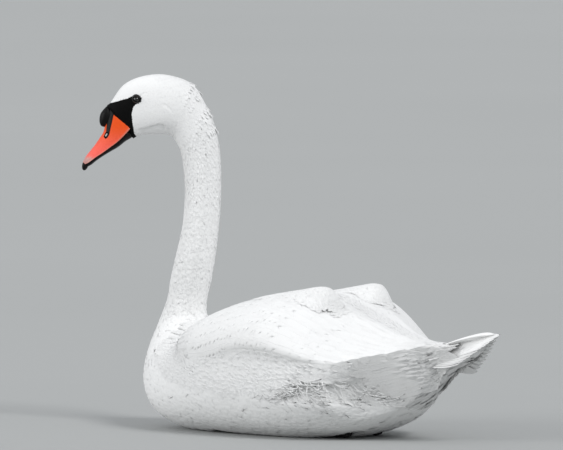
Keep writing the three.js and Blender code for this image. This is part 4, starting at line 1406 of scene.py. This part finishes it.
# %% Coverts over the root of the tail
u, v, _ = roots_on_top(
    (0.70, 0.84), (0.0, 1.0), 8.0, 7.0,
    lambda x, y: (y < 4 + 26 * smooth(x, 240, 285)) & (x > 236) & (x < 306), seed=95, jitter=0.14,
)
laid_on_sides(
    "coat_tail_root", bird_top, u, v, 96,
    length=lambda rng: 40 * MM * rng.uniform(0.85, 1.1, len(u)), width=15 * MM,
    turn=lambda rng: rng.normal(0, 0.12, len(u)), root=-2.0, tip=lambda rng: 1.0 + rng.uniform(-0.3, 0.4, len(u)),
    rows=7, columns=5, camber=0.04, blunt=0.3, point=0.6, curl=0.02, droop=0.9,
)

# %% [markdown]
# ## Wisps above the waterline
#
# The lowest flank feathers are loose. Their ends part into thin curling wisps that hang over the hollow where the
# flank turns under. They are narrow sheets, set at random slants and bent to one side.

# %% Loose wisps
rng = np.random.default_rng(110)
count = 620
x = rng.uniform(-190, 262, count)
in_hollow = np.exp(-(((x - HOLLOW_X[0]) / 72.0) ** 4))
z = lerp(rng.uniform(50, 74, count), rng.uniform(64, 104, count), in_hollow)
kept = rng.random(count) < lerp(0.02, 0.6, smooth(x, 20, 90)) * (1 - smooth(x, 215, 240))
x, z, in_hollow = x[kept], z[kept], in_hollow[kept]
u = (x - SIDE_X[0]) / (bird_side.points[-1, 0, 0] / MM - SIDE_X[0])
v = (z - SIDE_Z[0]) / (bird_side.points[0, -1, 2] / MM - SIDE_Z[0])
hang = lerp(rng.normal(-0.30, 0.22, len(x)), rng.normal(-0.95, 0.35, len(x)), in_hollow)
laid_on_sides(
    "coat_wisps", bird_side, u, v, 111,
    length=lambda rng: lerp(22, 32, in_hollow) * MM * rng.uniform(0.6, 1.3, len(u)),
    width=lambda rng: rng.uniform(1.0, 2.4, len(u)) * MM, turn=hang,
    root=lambda rng: lerp(-2.0, -5.0, in_hollow), tip=lambda rng: rng.uniform(0.1, 1.2, len(u)),
    rows=9, columns=3, camber=0.06, blunt=0.1, point=0.85, sweep=lambda rng: rng.normal(0.28, 0.25, len(u)),
)

# %% [markdown]
# ## The bill
#
# A horn-covered upper half, orange going pink toward the tip, sits in a black frame: the bare face behind it, a
# strip from the knob to the nostril, and the black lower half. A straight edge parts orange from black, so the
# markings are drawn as lines in the head's own plane, whose coordinates every vertex carries. The nostrils are cut
# last, as one slot from side to side.

# %% Stations of the bill: ridge x, z, cutting edge x, z, lower edge x, z, half width
BILL = [
    (-369.8, 498, -337.5, 461.5, -329.5, 449.5, 17),
    (-374, 478, -347, 451, -343, 442.5, 17),
    (-378.5, 457, -358, 440.5, -356, 432.5, 16),
    (-385, 446, -369, 432.3, -367, 426, 15),
    (-391.5, 436.5, -380, 424.3, -377, 420, 14.3),
    (-398.5, 427.5, -391, 417, -387.5, 413, 13.6),
    (-406, 418, -401, 409.5, -397, 405.5, 11.6),
    (-410.5, 409.5, -407.5, 406, -404, 401.5, 6),
]
NOSTRIL = (-374.4, 451.2)


def bill_half(lower, rows=150, columns=61):
    """Rings of one half of the bill: an arch, y = −cos·half, raised from the cutting edge by sin^0.9 of its height.

    The last points of a ring close it flat along the line where the two halves meet.
    """
    place = np.linspace(0, len(BILL) - 1, rows)
    ridge_x, ridge_z, edge_x, edge_z, chin_x, chin_z, half = (c[:, None] for c in spline(BILL, place).T)
    a = np.linspace(0, np.pi, columns)[None]
    far_x, far_z = (chin_x, chin_z) if lower else (ridge_x, ridge_z)
    tall = np.hypot(far_x - edge_x, far_z - edge_z)
    power, narrow = (0.7, 0.9) if lower else (0.9, 1.0)
    rise = np.sin(a) ** power * (tall - (0.3 if lower else 0)) + (0.3 if lower else 0)
    x = edge_x + (far_x - edge_x) / tall * rise
    z = edge_z + (far_z - edge_z) / tall * rise
    y = -np.cos(a) * half * narrow
    flat = np.linspace(1, -1, 14)[None, 1:-1]
    x = np.concatenate([x, x[:, -1:] + 0 * flat], 1)
    y = np.concatenate([y, y[:, -1:] * flat], 1)
    z = np.concatenate([z, z[:, -1:] + 0 * flat], 1)
    return np.stack([x, y, z], -1)


upper = bill_half(lower=False)
plane = upper[..., [0, 2]] - NOSTRIL
lean = np.radians(58)
long = plane[..., 0] * -np.cos(lean) + plane[..., 1] * -np.sin(lean)
short = plane[..., 0] * np.sin(lean) - plane[..., 1] * np.cos(lean)
oval = np.hypot(long / 4.2, short / 1.9)
upper[..., 1] *= 1 - 0.55 * (1 - smooth(oval, 0.75, 1.15)) + 0.03 * np.exp(-(((oval - 1.35) / 0.25) ** 2))
edge_gap, _ = along_line(upper[..., [0, 2]], [row[2:4] for row in BILL])
upper[..., 1] *= 1 + 0.035 * np.exp(-((edge_gap / 1.3) ** 2))

bill_finish = Finish("bill_horn", Roughness=0.42, Specular_IOR_Level=0.13)
flat_x, _, flat_z = bill_finish.axes(bill_finish.attribute("plane", output=1))


def past_line(a, b):
    """Millimetres that a point of the head's plane lies to the left of the line from a to b."""
    d = np.array(b, float) - np.array(a, float)
    d /= np.hypot(*d)
    return (flat_z - a[1]) * float(d[0]) - (flat_x - a[0]) * float(d[1])


def near_point(a, stretch_x=1.0, stretch_z=1.0):
    x, z = (flat_x - a[0]) * stretch_x, (flat_z - a[1]) * stretch_z
    return (x * x + z * z).maths("SQRT")


wobble = (bill_finish.noise(260.0) - 0.5) * 1.6
behind = past_line((-337.0, 462.2), (-366.1, 486.0)) + wobble
STRIP_EDGES = [  # anticlockwise round the black strip, from its lower left corner
    ((-378.6, 448.9), (-375.5, 445.6)), ((-375.5, 445.6), (-372.3, 447.6)), ((-372.7, 447.2), (-369.4, 452.6)),
    ((-369.7, 452.3), (-365.3, 471.8)),
]
strip = (past_line((-374.6, 457.0), (-373.2, 473.0)).step(0.4, -0.4)).most(
    past_line((-380.0, 446.0), (-374.6, 457.0)).step(0.4, -0.4)
)
for edge in STRIP_EDGES:
    strip = strip * (past_line(*edge) + wobble * 0.4).step(-0.3, 0.3)
black_part = (behind.step(0.3, -0.3)).most(strip)
toward_tip = (flat_z * -1.0 + 470.0).step(0.0, 58.0)
horn = toward_tip.blend((0.86, 0.098, 0.014), (1.0, 0.17, 0.14))
pale_tip = near_point((-402.0, 410.5), 0.8, 1.2).step(13.0, 4.0)
horn = pale_tip.blend(horn, (0.62, 0.36, 0.33))
mottle = bill_finish.noise(420.0, 4.0)
horn = (mottle.step(0.35, 0.75) * 0.22).blend(horn, (0.62, 0.05, 0.02))
rim = bill_finish.attribute("rim")
horn = (rim * 0.65).blend(horn, (0.95, 0.42, 0.33))
bill_finish.feed("Base Color", black_part.blend(horn, (0.0025, 0.0022, 0.0022)))
bill_finish.rough(500.0, 0.22, 0.3)
bill_finish.bump(bill_finish.noise(700.0, 4.0) * 0.6 + bill_finish.noise(150.0) * 0.4, 0.0005, 0.5)

bill = new_piece("bill_horn", *in_head(upper), bill_finish)


def nostril_bore(rows=12, columns=28):
    """An oval rod across the bill along the nostril's slant: a·cos and b·sin round its middle, from side to side."""
    turn = round_ring(columns)
    y = np.linspace(-30, 30, rows)[:, None] + 0 * turn
    far, wide = 3.0 * np.cos(turn), 1.25 * np.sin(turn)
    x = NOSTRIL[0] - far * np.cos(lean) + wide * np.sin(lean) + 0 * y
    z = NOSTRIL[1] - far * np.sin(lean) - wide * np.cos(lean) + 0 * y
    return np.stack([x, y, z], -1)


bore = new_piece("nostril_bore", *in_head(nostril_bore()), bill_finish)
for form in (bill, bore):
    turned = bmesh.new()
    turned.from_mesh(form.data)
    bmesh.ops.recalc_face_normals(turned, faces=turned.faces[:])
    turned.to_mesh(form.data)
    turned.free()
cut = bill.modifiers.new("nostrils", "BOOLEAN")
cut.operation, cut.solver, cut.object = "DIFFERENCE", "EXACT", bore
whole = len(bill.data.polygons)
bored = bpy.data.meshes.new_from_object(bill.evaluated_get(bpy.context.evaluated_depsgraph_get()))
bill.modifiers.clear()
bill.data = bored
bpy.data.objects.remove(bore)
print("bill faces", whole, "then with nostrils", len(bored.polygons))
spots = np.empty(len(bored.vertices) * 3)
bored.vertices.foreach_get("co", spots)
spots = head_plane(spots.reshape(-1, 3) / MM)
edge_gap, _ = along_line(spots[:, [0, 2]], [row[2:4] for row in BILL])
mark(bill, "plane", spots)
mark(bill, "rim", np.exp(-((edge_gap / 0.9) ** 2)))
belongs(bill, "bill_orange", "bill_upper")

# %% Black horn of the lower half, the nail and the knob
black_horn = Finish("black_horn", Roughness=0.4, Specular_IOR_Level=0.16)
black_horn.feed("Base Color", black_horn.noise(350.0, 3.0).blend((0.001, 0.001, 0.001), (0.005, 0.0045, 0.0045)))
black_horn.rough(500.0, 0.3, 0.28)
black_horn.bump(black_horn.noise(900.0, 3.0) * 0.7 + black_horn.noise(200.0) * 0.5, 0.0005, 0.6)

under = bill_half(lower=True)
root_middle = under[:, :61].mean(1, keepdims=True)
under = lerp(root_middle, under, lerp(0.55, 1.0, smooth(np.arange(len(under)), 0, 14))[:, None, None])
belongs(new_piece("bill_under", *in_head(under[:, ::-1]), black_horn), "bill_black", "bill_lower")


def egg(centre, long, thick, half, lean, relief, rooted=1.0, pear=0.0, rows=60, columns=80):
    """A leaning ellipsoid, its radius changed by relief(latitude, longitude).

    Its hind half is made deeper by rooted, and the front of its upper half thinner, like a pear's.
    """
    latitude = np.linspace(0.02, np.pi - 0.02, rows)[:, None]
    longitude = round_ring(columns)
    r = 1 + relief(latitude, longitude)
    across = r * thick * np.sin(latitude) * np.cos(longitude)
    across = np.where(across > 0, across * rooted, across * (1 - pear * np.cos(latitude).clip(0)))
    y = r * half * np.sin(latitude) * np.sin(longitude)
    up = r * long * np.cos(latitude)
    x = across * np.cos(np.radians(lean)) + up * np.sin(np.radians(lean))
    z = -across * np.sin(np.radians(lean)) + up * np.cos(np.radians(lean))
    return np.stack([centre[0] + x, y, centre[1] + z], -1)


nail_form = egg((-406.8, 405.2), 9.2, 4.8, 6.8, 16, lambda a, b: 0.02 * np.cos(9 * b) * np.sin(a) ** 2)
knob_form = egg(
    (-375.2, 481.0), 17.2, 8.4, 9.2, 20, lambda a, b: 0.02 * np.cos(3 * b + 2 * a) + 0.012 * np.sin(5 * a),
    rooted=2.1, pear=0.28,
)
for name, form, node in (("bill_tip_nail", nail_form, "bill_nail"), ("forehead_knob", knob_form, "knob")):
    belongs(new_piece(name, *in_head(form[:, ::-1]), black_horn), "bill_black", node)

# %% [markdown]
# ## Eyes
#
# The eye is small, dark brown and glossy, sunk so that only its front shows, inside a ring of black lid.

# %% Eyeballs and lids
EYE_RADIUS, EYE_SIDE = 8.5, float(spline(list(STATIONS.values()), np.array(1.42))[4]) - 6.4
eye_finish = Finish("eye", Roughness=0.05, Specular_IOR_Level=0.5)
iris_distance = eye_finish.attribute("from_pupil")
iris_ring = iris_distance.step(0.46, 0.52) * iris_distance.step(0.64, 0.58)
iris = iris_ring.blend((0.002, 0.002, 0.002), (0.022, 0.010, 0.005))
eye_finish.feed("Base Color", (eye_finish.noise(900.0) * 0.4).blend(iris, (0.01, 0.006, 0.004)))
eye_finish.rough(300.0, 0.04, 0.04)


def ball(side, rows=40, columns=64):
    """A sphere whose pole looks out sideways, with the clear front swollen by 0.14·exp(−(sin a / 0.36)²).

    Returns its points and each point's distance from the pupil.
    """
    a = np.linspace(0.03, np.pi - 0.03, rows)[:, None]
    b = round_ring(columns) * side
    swell = 0.14 * np.exp(-((np.sin(a) / 0.36) ** 2)) * (np.cos(a) > 0)
    points = [np.sin(a) * np.cos(b), side * (np.cos(a) + swell) + 0 * b, np.sin(a) * np.sin(b)]
    return np.stack(points, -1) * EYE_RADIUS + (EYE_X, side * EYE_SIDE, EYE_Z), np.sin(a) + 0 * b


def lid_ring(side, rows=72, columns=14):
    """A rim about 2.3 mm thick round an opening that is longer along the head than up it."""
    b = np.linspace(0, 2 * np.pi, rows + 1)[:, None] * -side
    c = round_ring(columns)
    wide, tall, thick = 5.7, 3.7, 1.15
    ripple = 1 + 0.10 * np.cos(9 * b)
    reach = 1 + thick * ripple * np.cos(c) / wide
    x, z = wide * reach * np.cos(b), tall * reach * np.sin(b)
    depth = np.sqrt(np.maximum(EYE_RADIUS**2 - (x**2 + z**2), 4.0))
    y = side * (EYE_SIDE + depth + 0.1 + thick * 0.8 * np.sin(c))
    tilt = np.radians(-20)
    return np.stack(
        [EYE_X + x * np.cos(tilt) - z * np.sin(tilt), y, EYE_Z + x * np.sin(tilt) + z * np.cos(tilt)], -1
    )


for side, name in ((-1, "left"), (1, "right")):
    points, from_pupil = ball(side)
    vertices, quads, caps = in_head(points)
    eyeball = new_piece(f"eyeball_{name}", vertices, quads[:, ::-1], caps[:, ::-1], eye_finish)
    mark(eyeball, "from_pupil", np.append(from_pupil.ravel(), [0.0, 0.0]))
    belongs(eyeball, "eye", f"eye_{name}")
    ring = lid_ring(side)
    vertices = (head_turned(ring) * MM).reshape(-1, 3)
    lid = new_piece(f"eyelid_{name}", vertices, grid_faces(*ring.shape[:2], closed=True), None, face_black)
    belongs(lid, "bill_black")

# %% [markdown]
# ## Feet
#
# At rest the feet are tucked into the feathers under the belly, webs half closed. They hardly show, so they are made
# from a few rods with scaled skin and one pleated web each.

# %% Scaled skin and the rods
foot_finish = Finish("foot_skin", Roughness=0.6)
scale_cells = foot_finish.start.node("ShaderNodeTexVoronoi", Vector=foot_finish.place(), Scale=420.0)
foot_finish.feed("Base Color", scale_cells.step(0.0, 0.6).blend((0.035, 0.033, 0.031), (0.012, 0.011, 0.011)))
foot_finish.rough(300.0, 0.3, 0.42)
foot_finish.bump(1.0 - scale_cells, 0.0008, 0.8)

LEG_HEEL, LEG_JOINT = np.array([123.0, 33.0, 11.0]), np.array([18.0, 45.0, 8.5])
TOES = {"inner": (-92, 35, 4.6), "middle": (-124, 52, 5.2), "outer": (-110, 70, 4.6)}


def rod(start, end, radii, rows=70, columns=24):
    """A tube from start to end whose radius follows (share of the way, radius) pairs, resting on the floor."""
    s = np.linspace(0, 1, rows)[:, None]
    a = round_ring(columns)
    places, sizes = zip(*radii)
    radius = np.interp(s, places, sizes) * (1 + 0.025 * np.sin(s * 120) * (s < 0.93))
    ahead = unit(np.array([end[0] - start[0], end[1] - start[1], 0.0]))
    beside = np.array([-ahead[1], ahead[0], 0.0])
    line = lerp(np.asarray(start, float), np.asarray(end, float), s)[:, None]
    points = line + beside * (radius * np.cos(a))[..., None] + np.array([0, 0, 1.0]) * (radius * np.sin(a))[..., None]
    points[..., 2] = np.maximum(points[..., 2], 0.15)
    return points


def joined(parts):
    """Several closed grids as one set of vertices in metres, quads and triangles."""
    vertices, quads, caps, count = [], [], [], 0
    for points in parts:
        v, q, c = closed_grid(points)
        vertices.append(v)
        quads.append(q + count)
        caps.append(c + count)
        count += len(v)
    return np.concatenate(vertices) * MM, np.concatenate(quads), np.concatenate(caps)


def web(rows=40, columns=50):
    """The pleated web: a fan from the joint to an edge that hangs slack between the toes, 1.8 mm thick."""
    tips = np.array([[x + 15, y] for x, y, _ in TOES.values()], float)
    t = np.linspace(0, 2, columns)[None]
    edge = spline(tips, t[0])[None] + np.array([9.0, 0.0]) * (np.sin(np.pi * t) ** 2)[..., None]
    s = np.linspace(0.02, 1, rows)[:, None, None]
    flat = lerp(LEG_JOINT[:2] - [4.0, 0.0], edge, s)
    height = 2.6 + 0.9 * np.cos(2 * np.pi * t * 2) * s[..., 0]
    top = np.concatenate([flat, height[..., None]], -1)
    under = np.concatenate([flat, height[..., None] - 1.8], -1)
    return np.concatenate([top, under[:, ::-1]], 1)


def toe(x, y, radius):
    """Knuckles swell the toe at its thirds, and it ends in a claw."""
    length = np.hypot(LEG_JOINT[0] - x, LEG_JOINT[1] - y)
    nail = 1 - 13 / length
    radii = [(0, radius * 1.4), (0.3, radius * 0.85), (0.36, radius * 1.05), (0.43, radius * 0.82)]
    radii += [(0.62, radius * 0.82), (0.68, radius), (0.74, radius * 0.78), (nail, radius * 0.8)]
    radii += [(nail + 0.01, radius * 0.55), (1, radius * 0.12)]
    return rod((LEG_JOINT[0], LEG_JOINT[1], radius), (x, y, radius * 0.6), radii)


shank = rod(
    LEG_HEEL + [7, -1, 0], LEG_JOINT + [3, 0, 0],
    [(0, 3.5), (0.04, 9), (0.12, 10), (0.22, 7.5), (0.55, 6.4), (0.88, 6.9), (0.97, 8), (1, 5)],
)
foot_form = joined([web()] + [toe(*numbers) for numbers in TOES.values()])
for side in SIDES:
    for name, form, node in (("shank", joined([shank]), "leg"), ("webbed_foot", foot_form, "foot")):
        belongs(on_side(side, name, form, foot_finish), "foot_skin", f"{node}_{side}")

# %% [markdown]
# ## Triangles
#
# The CAD nodes are hidden from the render, and the triangles of what is left are counted.

# %% Hide the CAD nodes and count the triangles
for node in frame["nodes"].values():
    node.hide_render = True
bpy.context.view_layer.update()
count = sum(len(p.data.polygons) * 2 for p in bpy.context.scene.objects if p.type == "MESH" and not p.hide_render)
print("about", count, "triangles")
